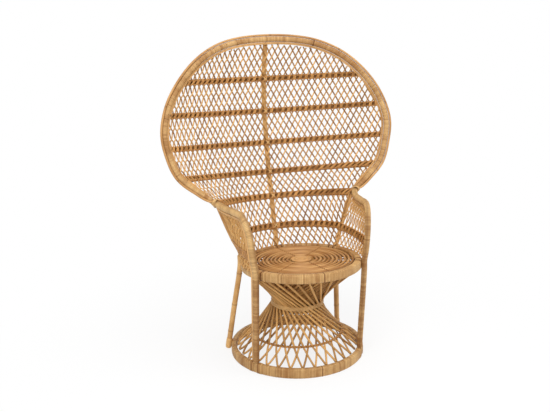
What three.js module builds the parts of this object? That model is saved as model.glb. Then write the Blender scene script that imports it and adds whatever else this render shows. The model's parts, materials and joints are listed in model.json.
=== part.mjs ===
// Peacock chair of woven rattan: an hourglass pedestal, a round seat, wrapped arms and a wide fan back.
// Millimetres, +Z up. The sitter looks along -Y, and +X is on the right of someone facing the chair.
// The pieces are laid out round the axis of the base hoop, and the whole chair is then moved so that
// the origin is on the floor under the middle of its outer box.
import * as THREE from "three";

// Gap between pieces that touch
const TOUCH_GAP = 0.3;

// Base hoop, which stands on the floor
const BASE_HOOP_RADIUS = 308;
const BASE_HOOP_THICKNESS = 24;
const BASE_HOOP_HEIGHT = 46;
const HOOP_CORNER = 8;

// Pedestal: rings and the strands between them
const MID_RING_RADIUS = 210;
const MID_RING_HEIGHT = 107;
const MID_RING_DIAMETER = 13;
const WAIST_RING_RADIUS = 115;
const WAIST_RING_HEIGHT = 253;
const WAIST_RING_FORWARD = 10;
const WAIST_RING_TALL = 20;
const WAIST_RING_THICKNESS = 14;
const PEDESTAL_STRANDS = 24;
const PEDESTAL_STRAND_WIDTH = 11;
const PEDESTAL_STRAND_THICKNESS = 9;
const UPPER_TWIST_DEG = 58;
const LOWER_TWIST_DEG = 30;
const BINDER_TALL = 7;
const SKIRT_TUCK = 1.8;

// Seat hoop and mat, tilted back together
const SEAT_HEIGHT = 474;
const SEAT_FORWARD = 65;
const SEAT_TILT_DEG = 3;
const SEAT_HOOP_RADIUS = 271;
const SEAT_HOOP_THICKNESS = 30;
const SEAT_HOOP_HEIGHT = 40;
const SEAT_COIL_DIAMETER = 12;
const SEAT_COIL_TURNS = 10;
const SEAT_COIL_INNER_RADIUS = 36;
const SEAT_COIL_DROP = 2;
const SEAT_SPOKES = 8;
const SEAT_SPOKE_WIDTH = 14;
const SEAT_SPOKE_DEPTH = 10;
const SEAT_HUB_RADIUS = 34;
const SEAT_BUTTON_RADIUS = 27;

// Back surface: at each level, the share of the way up from the seat to the top, the setback on the
// centre line, the radius of the round section, and how much the surface climbs for each millimetre
// that it comes forward at the sides. A band lies at each level between the first and the last.
const BACK_TOP_HEIGHT = 1415;
const BACK_FOOT_INSET = 10;
const BACK_FOOT_RADIUS = SEAT_HOOP_RADIUS - BACK_FOOT_INSET;
const BACK_LEVELS = [
  { share: 0, setback: BACK_FOOT_RADIUS - SEAT_FORWARD, radius: BACK_FOOT_RADIUS, rise: 0.0524 },
  { share: 0.08, setback: 262, radius: 292, rise: 0.1 },
  { share: 0.2155, setback: 340, radius: 350, rise: 0.18 },
  { share: 0.3338, setback: 384, radius: 650, rise: 0.21 },
  { share: 0.4805, setback: 413, radius: 775, rise: 0.19 },
  { share: 0.6386, setback: 439, radius: 770, rise: 0.17 },
  { share: 0.8031, setback: 436, radius: 680, rise: 0.11 },
  { share: 1, setback: 398, radius: 560, rise: 0.06 },
];

// Centre line of the fan rim on that surface, from the top down: angle from the middle of the back,
// and share of the way up from the neck to the top
const FAN_RIM_PATH = [
  { angle: 14.5, share: 0.9878 },
  { angle: 25, share: 0.9526 },
  { angle: 34.4, share: 0.8728 },
  { angle: 40.5, share: 0.747 },
  { angle: 42.5, share: 0.5913 },
  { angle: 43.3, share: 0.4249 },
  { angle: 43.8, share: 0.2828 },
  { angle: 46.8, share: 0.161 },
  { angle: 55, share: 0.069 },
];

// Centre line of the right arm rail, from the neck of the back forward and down to the base hoop.
// The arm's places are given above or below the arm's height, and the post's as a share of the way
// up from the seat to the arm
const ARM_HEIGHT = 709;
const ARM_PATH = [
  { side: 342, back: 121, above: 7 },
  { side: 316, back: 55, above: -3 },
  { side: 298, back: -48, above: 2 },
  { side: 287, back: -138, above: 0 },
];
const POST_PATH = [
  { side: 272, back: -185, share: 0.706 },
  { side: 260, back: -197, share: 0.2255 },
];
const POST_ANGLE_DEG = 123;

// Rails, beads and poles
const FAN_RAIL_WIDTH = 26;
const FAN_RAIL_THICKNESS = 22;
const FAN_RIM_LEAN_DEG = 14;
const ARM_RAIL_WIDTH = 30;
const ARM_RAIL_THICKNESS = 26;
const BEAD_DIAMETER = 11;
const OUTER_POLE_DIAMETER = 10;
const NECK_BINDING_LENGTH = 34;
const NECK_BINDING_WALL = 3;
const NECK_BINDING_GAP = 1.4;
const RIM_GAP = 0.8;
const POST_DIAMETER = 22;
const POST_FOOT_ANGLE_DEG = -5.4;
const STILE_DIAMETER = 20;
const LEG_DIAMETER = 24;
const LEG_FOOT_RADIUS = 327;
const STILE_FOOT_ANGLE_DEG = 57;
const STILE_TOP_ANGLE_DEG = 67;
const STILE_TOP_DROP = 21;
const NECK_RISE = 8;
const STILE_INSET_DEG = 7;

// Rear legs: angle from the middle of the back at the seat hoop and at the floor. The pedestal is turned
// a little under the back, so the two legs are not quite alike
const REAR_LEGS = [
  { side: "right", seatDeg: 55, footDeg: 57 },
  { side: "left", seatDeg: 60, footDeg: 67 },
];

// Woven bands and lattice
const BAND_TALL = 26;
const BAND_THICKNESS = 12;
const BAND_END_GAP = 1;
const LATTICE_STRAND = 9;
const LATTICE_THICKNESS = 7;
const LATTICE_DIAMOND_WIDTH = 92;
const LATTICE_TIERS = 1;
const ARCH_TIERS = 2;
const LATTICE_FOOT_GAP = 1.5;
const LATTICE_BAND_GAP = 0.4;
const ARM_LATTICE_GAP = 3.5;
const ARM_LATTICE_REAR_GAP = 26;
const ARM_LATTICE_COLUMNS = 3;
const ARM_BAND_SHARE = 0.36;
const ARM_BAND_CLIMB = 0.1;

// Smoothness of the curved pieces
const HOOP_STEPS = 36;
const COIL_STEPS_PER_TURN = 20;
const COIL_SIDES = 5;
const RIM_STEPS = 52;
const ARM_STEPS = 32;
const BAND_STEPS = 20;
const BEAD_SIDES = 5;
const RAIL_SIDES = 8;
const POLE_SIDES = 8;

// Finishes
const HONEY = { color: 0xc9995c, roughness: 0.55, metalness: 0 };
const WRAP = { color: 0xd8ae72, roughness: 0.5, metalness: 0 };
const STRAND = { color: 0xb98a50, roughness: 0.6, metalness: 0 };
const DARK_TWINE = { color: 0x8d5f30, roughness: 0.7, metalness: 0 };
const BARE_POLE = { color: 0xbf8a4c, roughness: 0.45, metalness: 0 };

const rad = THREE.MathUtils.degToRad;
const lerp = THREE.MathUtils.lerp;
const vec = (x, y, z) => new THREE.Vector3(x, y, z);
const UP = vec(0, 0, 1);
const SEAT_Y = -SEAT_FORWARD;
const SEAT_TURN = new THREE.Matrix4()
  .makeTranslation(0, SEAT_Y, SEAT_HEIGHT)
  .multiply(new THREE.Matrix4().makeRotationX(-rad(SEAT_TILT_DEG)));
const chair = new THREE.Group();

// Turns vertices and triangles into a closed mesh whose faces point out, and adds it to the chair
function addPiece(name, finish, points, triangles) {
  let volume = 0;
  for (const [a, b, c] of triangles) {
    volume += points[a].dot(points[b].clone().cross(points[c]));
  }
  const faces = volume < 0 ? triangles.map(([a, b, c]) => [a, c, b]) : triangles;
  const geometry = new THREE.BufferGeometry();
  geometry.setAttribute("position", new THREE.Float32BufferAttribute(points.flatMap((p) => p.toArray()), 3));
  geometry.setIndex(faces.flat());
  geometry.computeVertexNormals();
  const mesh = new THREE.Mesh(geometry, new THREE.MeshStandardMaterial(finish));
  mesh.name = name;
  chair.add(mesh);
}

// Joins rings of equally many points into a skin, with flat ends or closed on itself. Its two halves are
// cut into triangles the opposite way, which keeps a symmetrical piece symmetrical
function skin(rings, loop) {
  const sides = rings[0].length;
  const triangles = [];
  const last = loop ? rings.length : rings.length - 1;
  for (let ring = 0; ring < last; ring += 1) {
    const next = (ring + 1) % rings.length;
    for (let side = 0; side < sides; side += 1) {
      const other = (side + 1) % sides;
      const [a, b] = [ring * sides + side, ring * sides + other];
      const [c, d] = [next * sides + other, next * sides + side];
      if (ring < (rings.length - 1) / 2) {
        triangles.push([a, b, c], [a, c, d]);
      } else {
        triangles.push([a, b, d], [b, c, d]);
      }
    }
  }
  if (!loop) {
    const end = (rings.length - 1) * sides;
    for (let side = 1; side < sides - 1; side += 1) {
      triangles.push([0, side + 1, side], [end, end + side, end + side + 1]);
    }
  }
  return triangles;
}

// Sweeps a section, given as offsets along each station's out and normal directions
function sweep(name, finish, stations, section, loop = false) {
  const rings = stations.map(({ point, out, normal }) =>
    section.map(([across, deep]) => point.clone().addScaledVector(out, across).addScaledVector(normal, deep)),
  );
  addPiece(name, finish, rings.flat(), skin(rings, loop));
}

const ovalSection = (width, thickness, sides) =>
  Array.from({ length: sides }, (_, side) => {
    const angle = ((side + 0.5) / sides) * 2 * Math.PI;
    const reach = 1 / Math.cos(Math.PI / sides);
    const fit = (value, half) => THREE.MathUtils.clamp(value * reach * half, -half, half);
    return [fit(Math.cos(angle), width / 2), fit(Math.sin(angle), thickness / 2)];
  });

const roundSection = (diameter, sides) =>
  Array.from({ length: sides }, (_, side) => {
    const angle = ((side + 0.5) / sides) * 2 * Math.PI;
    return [(Math.cos(angle) * diameter) / 2, (Math.sin(angle) * diameter) / 2];
  });

// A hoop's section, from its outer face inwards, with its top at zero and bevelled edges
const hoopSection = (thickness, height, corner) => [
  [0, -corner],
  [-corner, 0],
  [corner - thickness, 0],
  [-thickness, -corner],
  [-thickness, corner - height],
  [corner - thickness, -height],
  [-corner, -height],
  [0, corner - height],
];

function hoopStations(radius, place) {
  return Array.from({ length: HOOP_STEPS }, (_, step) => {
    const angle = (step / HOOP_STEPS) * 2 * Math.PI;
    const out = vec(Math.cos(angle), Math.sin(angle), 0);
    const point = out.clone().multiplyScalar(radius).applyMatrix4(place);
    return { point, out: out.transformDirection(place), normal: UP.clone().transformDirection(place) };
  });
}

// Back surface: smooth values between the levels
const hoopTop = (x, y) => SEAT_HEIGHT - (y - SEAT_Y) * Math.tan(rad(SEAT_TILT_DEG));
const FOOT_HEIGHT = hoopTop(0, BACK_LEVELS[0].setback);
const levelHeight = (share) => lerp(FOOT_HEIGHT, BACK_TOP_HEIGHT, share);
const LEVELS = BACK_LEVELS.map((level) => ({ ...level, height: levelHeight(level.share) }));
const BANDS = LEVELS.slice(1, -1);

function levelValue(key, height) {
  const at = THREE.MathUtils.clamp(height, FOOT_HEIGHT, BACK_TOP_HEIGHT);
  let low = 0;
  while (low < LEVELS.length - 2 && at > LEVELS[low + 1].height) {
    low += 1;
  }
  const slope = (index) => {
    const from = LEVELS[Math.max(index - 1, 0)];
    const to = LEVELS[Math.min(index + 1, LEVELS.length - 1)];
    return (to[key] - from[key]) / (to.height - from.height);
  };
  const span = LEVELS[low + 1].height - LEVELS[low].height;
  const t = (at - LEVELS[low].height) / span;
  const [t2, t3] = [t * t, t * t * t];
  return (
    (2 * t3 - 3 * t2 + 1) * LEVELS[low][key] +
    (t3 - 2 * t2 + t) * span * slope(low) +
    (3 * t2 - 2 * t3) * LEVELS[low + 1][key] +
    (t3 - t2) * span * slope(low + 1)
  );
}

function surfacePoint(angle, level) {
  const radius = levelValue("radius", level);
  const forward = radius * (1 - Math.cos(angle));
  const height = level + levelValue("rise", level) * forward;
  return vec(radius * Math.sin(angle), levelValue("setback", level) - forward, height);
}

// Directions on the surface: across to the right, up, and normal away from the sitter
function surfaceFrame(angle, level) {
  const small = 1;
  const turn = small / levelValue("radius", level);
  const across = surfacePoint(angle + turn, level).sub(surfacePoint(angle - turn, level)).normalize();
  const rise = surfacePoint(angle, level + small).sub(surfacePoint(angle, level - small)).normalize();
  const normal = rise.clone().cross(across).normalize();
  return { across, rise, normal };
}

const offSurface = (angle, level, depth) =>
  surfacePoint(angle, level).addScaledVector(surfaceFrame(angle, level).normal, depth);

// Rim and arms: one curve from the left foot over the fan to the right foot
const postRadius = BASE_HOOP_RADIUS - BASE_HOOP_THICKNESS / 2;
const postFoot = vec(
  postRadius * Math.sin(rad(POST_ANGLE_DEG)),
  postRadius * Math.cos(rad(POST_ANGLE_DEG)),
  BASE_HOOP_HEIGHT + TOUCH_GAP,
);
const postAtSeat = (height) => {
  const reach = SEAT_HOOP_RADIUS + TOUCH_GAP + ARM_RAIL_THICKNESS / 2;
  const slant = Math.asin((SEAT_Y - POST_PATH[1].back) / reach);
  return vec(reach * Math.cos(slant), SEAT_Y - reach * Math.sin(slant), height);
};
const armPoints = ARM_PATH.map(({ side, back, above }) => vec(side, back, ARM_HEIGHT + above));
const postPoints = POST_PATH.map(({ side, back, share }) =>
  vec(side, back, lerp(SEAT_HEIGHT, ARM_HEIGHT, share)),
);
const NECK_HEIGHT = armPoints[0].z;
const neckLevel = levelOf(armPoints[0]);
const STILE_TOP_LEVEL = neckLevel - STILE_TOP_DROP;
const onFan = FAN_RIM_PATH.map(({ angle, share }) =>
  surfacePoint(rad(angle), lerp(neckLevel, BACK_TOP_HEIGHT, share)),
);
const rightSide = [
  ...onFan,
  ...armPoints,
  ...postPoints,
  postAtSeat(SEAT_HEIGHT),
  postAtSeat(SEAT_HEIGHT - SEAT_HOOP_HEIGHT),
  postFoot,
];
const mirrored = (point) => vec(-point.x, point.y, point.z);
const rimPoints = [...rightSide.map(mirrored).reverse(), surfacePoint(0, BACK_TOP_HEIGHT), ...rightSide];
const rimCurve = new THREE.CatmullRomCurve3(rimPoints, false, "centripetal");
const rimShare = (index) => (rightSide.length + 1 + index) / (rimPoints.length - 1);
const NECK_SHARE = rimShare(onFan.length);
const CORNER_SHARE = rimShare(onFan.length + armPoints.length - 1);
const SEAT_SHARE = rimShare(onFan.length + armPoints.length + postPoints.length);

function levelOf(point) {
  let level = point.z;
  for (let pass = 0; pass < 8; pass += 1) {
    level = point.z - levelValue("rise", level) * (levelValue("setback", level) - point.y);
  }
  return level;
}

// Station on the rim: out is in the surface, away from the lattice, and normal is away from the sitter
function rimStation(share) {
  const point = rimCurve.getPoint(share);
  const along = rimCurve.getTangent(share);
  const level = levelOf(point);
  const centre = levelValue("setback", level) - levelValue("radius", level);
  const radial = vec(point.x, point.y - centre, 0).normalize();
  const out = along.clone().cross(radial).normalize();
  const normal = out.clone().cross(along).normalize();
  const fan = THREE.MathUtils.smoothstep(point.z, NECK_HEIGHT, BANDS[3].height);
  const lean = Math.abs(share - 0.5) < NECK_SHARE - 0.5 ? rad(FAN_RIM_LEAN_DEG) * fan : 0;
  const leaned = out.clone().multiplyScalar(Math.cos(lean)).addScaledVector(normal, Math.sin(lean));
  return { point, out: leaned, normal: leaned.clone().cross(along).normalize() };
}

// The stations lie closer together near the necks, where the rim turns most
const fanPace = (t) => (t + (1 - Math.cos(Math.PI * t)) / 2) / 2;
const armPace = (t) => t ** 1.25;

function rimStations(from, to, steps, offset, pace) {
  return Array.from({ length: steps + 1 }, (_, step) => {
    const station = rimStation(lerp(from, to, pace(step / steps)));
    station.point.addScaledVector(station.out, offset);
    return station;
  });
}

// Moves a run's two ends inwards along the run, so that it clears the pieces that it meets
function shortened(stations, startGap, endGap) {
  const last = stations.length - 1;
  const ends = [
    [0, 1, startGap],
    [last, last - 1, endGap],
  ];
  for (const [end, next, gap] of ends) {
    const toward = stations[next].point.clone().sub(stations[end].point).normalize();
    stations[end].point.addScaledVector(toward, gap);
  }
  return stations;
}

const fanBeadOffset = -(FAN_RAIL_WIDTH / 2 + RIM_GAP + BEAD_DIAMETER / 2);
const fanPoleOffset = FAN_RAIL_WIDTH / 2 + RIM_GAP + OUTER_POLE_DIAMETER / 2;
const armBeadOffset = -(ARM_RAIL_WIDTH / 2 + RIM_GAP + BEAD_DIAMETER / 2);
const fanInnerOffset = fanBeadOffset - BEAD_DIAMETER / 2;
const armInnerOffset = armBeadOffset - BEAD_DIAMETER / 2;

function fanRim() {
  const pieces = [
    ["fan_rim_rail", WRAP, 0, ovalSection(FAN_RAIL_WIDTH, FAN_RAIL_THICKNESS, RAIL_SIDES)],
    ["fan_rim_bead", HONEY, fanBeadOffset, roundSection(BEAD_DIAMETER, BEAD_SIDES)],
    ["fan_rim_outer_pole", HONEY, fanPoleOffset, roundSection(OUTER_POLE_DIAMETER, BEAD_SIDES)],
  ];
  for (const [name, finish, offset, section] of pieces) {
    const stations = rimStations(1 - NECK_SHARE, NECK_SHARE, RIM_STEPS, offset, fanPace);
    sweep(name, finish, shortened(stations, TOUCH_GAP, TOUCH_GAP), section);
  }
}

// Cuts the lower end of a post level, just above the base hoop
function levelFoot(stations) {
  const foot = stations[stations.length - 1];
  foot.point.z = postFoot.z;
  foot.out.setZ(0).normalize();
  foot.normal.setZ(0).normalize();
  return stations;
}

function arms() {
  for (const [side, from, to] of [["right", NECK_SHARE, 1], ["left", 1 - NECK_SHARE, 0]]) {
    const rail = levelFoot(shortened(rimStations(from, to, ARM_STEPS, 0, armPace), TOUCH_GAP, 0));
    sweep(`arm_rail_${side}`, WRAP, rail, ovalSection(ARM_RAIL_WIDTH, ARM_RAIL_THICKNESS, RAIL_SIDES));
    const bead = levelFoot(shortened(rimStations(from, to, ARM_STEPS, armBeadOffset, armPace), TOUCH_GAP, 0));
    sweep(`arm_bead_${side}`, HONEY, bead, roundSection(BEAD_DIAMETER, BEAD_SIDES));
  }
}

// A sleeve round the rail, bead and pole where the arm joins the fan
function neckBindings() {
  const reach = NECK_BINDING_LENGTH / 2 / rimCurve.getLength();
  const low = armInnerOffset - NECK_BINDING_GAP;
  const high = fanPoleOffset + OUTER_POLE_DIAMETER / 2 + NECK_BINDING_GAP;
  const thick = ARM_RAIL_THICKNESS + 2 * NECK_BINDING_GAP;
  for (const [side, share, toArm] of [["right", NECK_SHARE, reach], ["left", 1 - NECK_SHARE, -reach]]) {
    const ring = (station, wall) =>
      ovalSection(high - low + 2 * wall, thick + 2 * wall, RAIL_SIDES).map(([across, deep]) =>
        station.point
          .clone()
          .addScaledVector(station.out, across + (high + low) / 2)
          .addScaledVector(station.normal, deep),
      );
    const ends = [-1, -0.5, 0, 0.5, 1].map((step) => rimStation(share + step * toArm));
    const inner = ends.map((station) => ring(station, 0)).reverse();
    const outer = ends.map((station) => ring(station, NECK_BINDING_WALL));
    const rings = [...outer, ...inner];
    addPiece(`neck_binding_${side}`, WRAP, rings.flat(), skin(rings, true));
  }
}

// Edge of the lattice on the right of the fan, as angle for each level
const fanEdge = Array.from({ length: RIM_STEPS + 1 }, (_, step) => {
  const { point, out } = rimStation(lerp(0.5, NECK_SHARE, step / RIM_STEPS));
  const inner = point.clone().addScaledVector(out, fanInnerOffset - TOUCH_GAP);
  const level = levelOf(inner);
  const centre = levelValue("setback", level) - levelValue("radius", level);
  return { level, angle: Math.atan2(inner.x, inner.y - centre) };
});
const stileAngle = (level) => {
  const share = (level - FOOT_HEIGHT) / (STILE_TOP_LEVEL - FOOT_HEIGHT);
  return rad(lerp(STILE_FOOT_ANGLE_DEG, STILE_TOP_ANGLE_DEG, share));
};

function edgeAngle(level) {
  if (level < neckLevel + NECK_RISE) {
    return stileAngle(level) - rad(STILE_INSET_DEG);
  }
  const above = fanEdge.findIndex((edge) => edge.level < level);
  if (above === 0) {
    return 0;
  }
  const low = above < 0 ? fanEdge[fanEdge.length - 1] : fanEdge[above];
  const high = above < 0 ? low : fanEdge[above - 1];
  const share = high.level === low.level ? 0 : (level - low.level) / (high.level - low.level);
  return lerp(low.angle, high.angle, share);
}

// A net of crossing strands, as crossings in flat coordinates and links up to the right or left
function addNet(name, crossings, links, half, thickness, place) {
  const points = [];
  for (const { across, up } of crossings) {
    const corners = [[-half.wide, 0], [half.wide, 0], [0, half.tall], [0, -half.tall]];
    for (const depth of [thickness / 2, -thickness / 2]) {
      for (const [da, du] of corners) {
        points.push(place(across + da, up + du, depth));
      }
    }
  }
  const [LEFT, RIGHT, TOP, BOTTOM] = [0, 1, 2, 3];
  const id = (crossing, corner) => crossing * 8 + corner;
  const triangles = [];
  const facing = (...corners) => {
    for (let index = 1; index < corners.length - 1; index += 1) {
      const [a, b, c] = [corners[0], corners[index], corners[index + 1]];
      triangles.push([a, b, c], [a + 4, c + 4, b + 4]);
    }
  };
  const wall = (a, b) => triangles.push([a, a + 4, b + 4], [a, b + 4, b]);
  const open = new Set();
  crossings.forEach((_, crossing) => {
    facing(id(crossing, LEFT), id(crossing, BOTTOM), id(crossing, RIGHT), id(crossing, TOP));
    for (const edge of ["lower_left", "lower_right", "upper_right", "upper_left"]) {
      open.add(`${crossing} ${edge}`);
    }
  });
  for (const { from, to, lean } of links) {
    if (lean === "right") {
      facing(id(from, RIGHT), id(to, BOTTOM), id(to, LEFT), id(from, TOP));
      wall(id(from, RIGHT), id(to, BOTTOM));
      wall(id(to, LEFT), id(from, TOP));
      open.delete(`${from} upper_right`);
      open.delete(`${to} lower_left`);
    } else {
      facing(id(from, TOP), id(to, RIGHT), id(to, BOTTOM), id(from, LEFT));
      wall(id(from, TOP), id(to, RIGHT));
      wall(id(to, BOTTOM), id(from, LEFT));
      open.delete(`${from} upper_left`);
      open.delete(`${to} lower_right`);
    }
  }
  const ends = {
    lower_left: [LEFT, BOTTOM],
    lower_right: [BOTTOM, RIGHT],
    upper_right: [RIGHT, TOP],
    upper_left: [TOP, LEFT],
  };
  for (const key of open) {
    const [crossing, edge] = key.split(" ");
    wall(id(Number(crossing), ends[edge][0]), id(Number(crossing), ends[edge][1]));
  }
  addPiece(name, STRAND, points, triangles);
}

// Crossings and links of a diagonal net between two heights, kept inside its edges
function diagonalNet({ columns, tiers, columnWidth, low, high, inside, half }) {
  const rows = tiers * 2;
  const spot = (column, row) => ({ across: (column * columnWidth) / 2, up: lerp(low, high, row / rows) });
  const crossings = [];
  const links = [];
  const index = new Map();
  for (let row = 0; row <= rows; row += 1) {
    for (let column = -columns; column <= columns; column += 1) {
      const here = spot(column, row);
      if ((row + column) % 2 === 0 && inside(here)) {
        index.set(`${column} ${row}`, crossings.push(here) - 1);
      }
    }
  }
  const stub = (from, toward) => {
    let share = 1;
    const at = () => {
      const across = lerp(from.across, toward.across, share);
      return { across, up: lerp(from.up, toward.up, share) };
    };
    while (share > 0 && !inside(at())) {
      share -= 0.02;
    }
    const reach = Math.abs(at().up - from.up);
    return reach > 2.5 * half.tall ? crossings.push(at()) - 1 : -1;
  };
  for (const [key, crossing] of [...index]) {
    const [column, row] = key.split(" ").map(Number);
    for (const [step, lean] of [[1, "right"], [-1, "left"]]) {
      let above = index.get(`${column + step} ${row + 1}`);
      if (row < rows && above === undefined) {
        above = stub(crossings[crossing], spot(column + step, row + 1));
      }
      if (above >= 0) {
        links.push({ from: crossing, to: above, lean });
      }
      const below = index.get(`${column - step} ${row - 1}`);
      if (row > 0 && below === undefined) {
        const downward = stub(crossings[crossing], spot(column - step, row - 1));
        if (downward >= 0) {
          links.push({ from: downward, to: crossing, lean });
        }
      }
    }
  }
  return largestGroup(crossings, links);
}

// Drops strands that hang on no other strand
function largestGroup(crossings, links) {
  const group = crossings.map((_, crossing) => crossing);
  const rootOf = (crossing) => (group[crossing] === crossing ? crossing : rootOf(group[crossing]));
  for (const { from, to } of links) {
    group[rootOf(from)] = rootOf(to);
  }
  const sizes = new Map();
  crossings.forEach((_, crossing) => sizes.set(rootOf(crossing), (sizes.get(rootOf(crossing)) ?? 0) + 1));
  const [largest] = [...sizes].sort((a, b) => b[1] - a[1])[0];
  const kept = crossings.map((_, crossing) => crossing).filter((crossing) => rootOf(crossing) === largest);
  const place = new Map(kept.map((crossing, index) => [crossing, index]));
  return {
    crossings: kept.map((crossing) => crossings[crossing]),
    links: links
      .filter(({ from }) => place.has(from))
      .map(({ from, to, lean }) => ({ from: place.get(from), to: place.get(to), lean })),
  };
}

// Half diagonals of the rhombus where two strands of one width cross
function crossingSize(strand, run, rise) {
  const slant = Math.atan2(run, rise);
  return { wide: strand / 2 / Math.cos(slant), tall: strand / 2 / Math.sin(slant) };
}

function backLattice() {
  const bounds = [FOOT_HEIGHT, ...BANDS.map((band) => band.height), fanEdge[0].level];
  for (let row = 0; row < bounds.length - 1; row += 1) {
    const lowTrim = row === 0 ? LATTICE_FOOT_GAP : BAND_TALL / 2 + LATTICE_BAND_GAP;
    const highTrim = row === bounds.length - 2 ? 0 : BAND_TALL / 2 + LATTICE_BAND_GAP;
    const tiers = row === bounds.length - 2 ? ARCH_TIERS : LATTICE_TIERS;
    const columnWidth = LATTICE_DIAMOND_WIDTH / tiers;
    const half = crossingSize(LATTICE_STRAND, columnWidth / 2, (bounds[row + 1] - bounds[row]) / 2 / tiers);
    const low = bounds[row] + lowTrim + half.tall;
    const high = bounds[row + 1] - highTrim - half.tall;
    const room = (level) => edgeAngle(level) * levelValue("radius", level) - half.wide - TOUCH_GAP;
    const inside = ({ across, up }) =>
      Math.abs(across) <= Math.min(room(up - half.tall), room(up), room(up + half.tall));
    const widest = edgeAngle((low + high) / 2) * levelValue("radius", (low + high) / 2);
    const columns = Math.ceil((2 * widest) / columnWidth) + 2;
    const net = diagonalNet({ columns, tiers, columnWidth, low, high, inside, half });
    const place = (across, up, depth) => offSurface(across / levelValue("radius", up), up, depth);
    addNet(`back_lattice_${row + 1}`, net.crossings, net.links, half, LATTICE_THICKNESS, place);
  }
}

const bandSection = [
  [BAND_TALL / 2, BAND_THICKNESS / 2],
  [-BAND_TALL / 2, BAND_THICKNESS / 2],
  [-BAND_TALL / 2, -BAND_THICKNESS / 2],
  [BAND_TALL / 2, -BAND_THICKNESS / 2],
];

// Each band lies on the back surface, and its ends are cut along the rim
function backBands() {
  BANDS.forEach(({ height }, band) => {
    const rings = Array.from({ length: BAND_STEPS + 1 }, (_, step) =>
      bandSection.map(([above, depth]) => {
        const level = height + above;
        const end = edgeAngle(level) - BAND_END_GAP / levelValue("radius", level);
        return offSurface(lerp(-end, end, step / BAND_STEPS), level, depth);
      }),
    );
    addPiece(`back_band_${band + 1}`, DARK_TWINE, rings.flat(), skin(rings, false));
  });
}

// Poles behind the lattice
function poleStations(points) {
  return points.map((point, index) => {
    const before = points[Math.max(index - 1, 0)];
    const after = points[Math.min(index + 1, points.length - 1)];
    const along = after.clone().sub(before).normalize();
    const out = vec(0, 1, 0).cross(along).normalize();
    return { point, out, normal: along.clone().cross(out).normalize() };
  });
}

const poleHalf = (diameter) => (diameter / 2) * Math.cos(Math.PI / POLE_SIDES);
const behindBands = (diameter) => BAND_THICKNESS / 2 + TOUCH_GAP + poleHalf(diameter);

function besideHoop(angleDeg, diameter, below) {
  const reach = SEAT_HOOP_RADIUS + TOUCH_GAP + poleHalf(diameter);
  const point = vec(reach * Math.sin(rad(angleDeg)), SEAT_Y + reach * Math.cos(rad(angleDeg)), 0);
  point.z = hoopTop(point.x, point.y) - below;
  return point;
}

// The centre post comes down straight to the second band and from there leans to its foot
function centrePost() {
  const depth = behindBands(POST_DIAMETER);
  const top = fanEdge[0].level - TOUCH_GAP;
  const foot = (below) => besideHoop(POST_FOOT_ANGLE_DEG, POST_DIAMETER, below);
  const points = [foot(SEAT_HOOP_HEIGHT), foot(HOOP_CORNER)];
  BANDS.forEach(({ height }, band) => {
    const angle = band === 0 ? rad(POST_FOOT_ANGLE_DEG) / 2 : 0;
    points.push(offSurface(angle, height - BAND_TALL / 2, depth), offSurface(angle, height + BAND_TALL / 2, depth));
  });
  points.push(offSurface(0, top, depth));
  sweep("back_centre_post", BARE_POLE, poleStations(points), roundSection(POST_DIAMETER, POLE_SIDES));
}

function rearLegs() {
  for (const { side, seatDeg, footDeg } of REAR_LEGS) {
    const turn = side === "left" ? mirrored : (point) => point;
    const [x, y] = [Math.sin(rad(footDeg)), Math.cos(rad(footDeg))];
    const leg = [
      vec(LEG_FOOT_RADIUS * x, LEG_FOOT_RADIUS * y, 0),
      besideHoop(seatDeg, LEG_DIAMETER, SEAT_HOOP_HEIGHT),
      besideHoop(seatDeg, LEG_DIAMETER, -HOOP_CORNER),
    ];
    const stations = levelEnds(poleStations(leg.map(turn)));
    sweep(`rear_leg_${side}`, BARE_POLE, stations, roundSection(LEG_DIAMETER, POLE_SIDES));
  }
}

// Each stile starts on the head of its leg
function stiles() {
  const depth = behindBands(STILE_DIAMETER);
  const levels = [BANDS[0].height, STILE_TOP_LEVEL];
  for (const { side, seatDeg } of REAR_LEGS) {
    const turn = side === "left" ? mirrored : (point) => point;
    const start = besideHoop(STILE_FOOT_ANGLE_DEG, STILE_DIAMETER, 0);
    start.z = besideHoop(seatDeg, LEG_DIAMETER, -HOOP_CORNER).z + TOUCH_GAP;
    const path = [start, ...levels.map((level) => offSurface(stileAngle(level), level, depth))];
    const stations = levelEnds(poleStations(path.map(turn)));
    sweep(`back_stile_${side}`, BARE_POLE, stations, roundSection(STILE_DIAMETER, POLE_SIDES));
  }
}

// Cuts both ends of a pole level
function levelEnds(stations) {
  for (const station of [stations[0], stations[stations.length - 1]]) {
    station.out = vec(1, 0, 0);
    station.normal = vec(0, 1, 0);
  }
  return stations;
}

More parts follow.
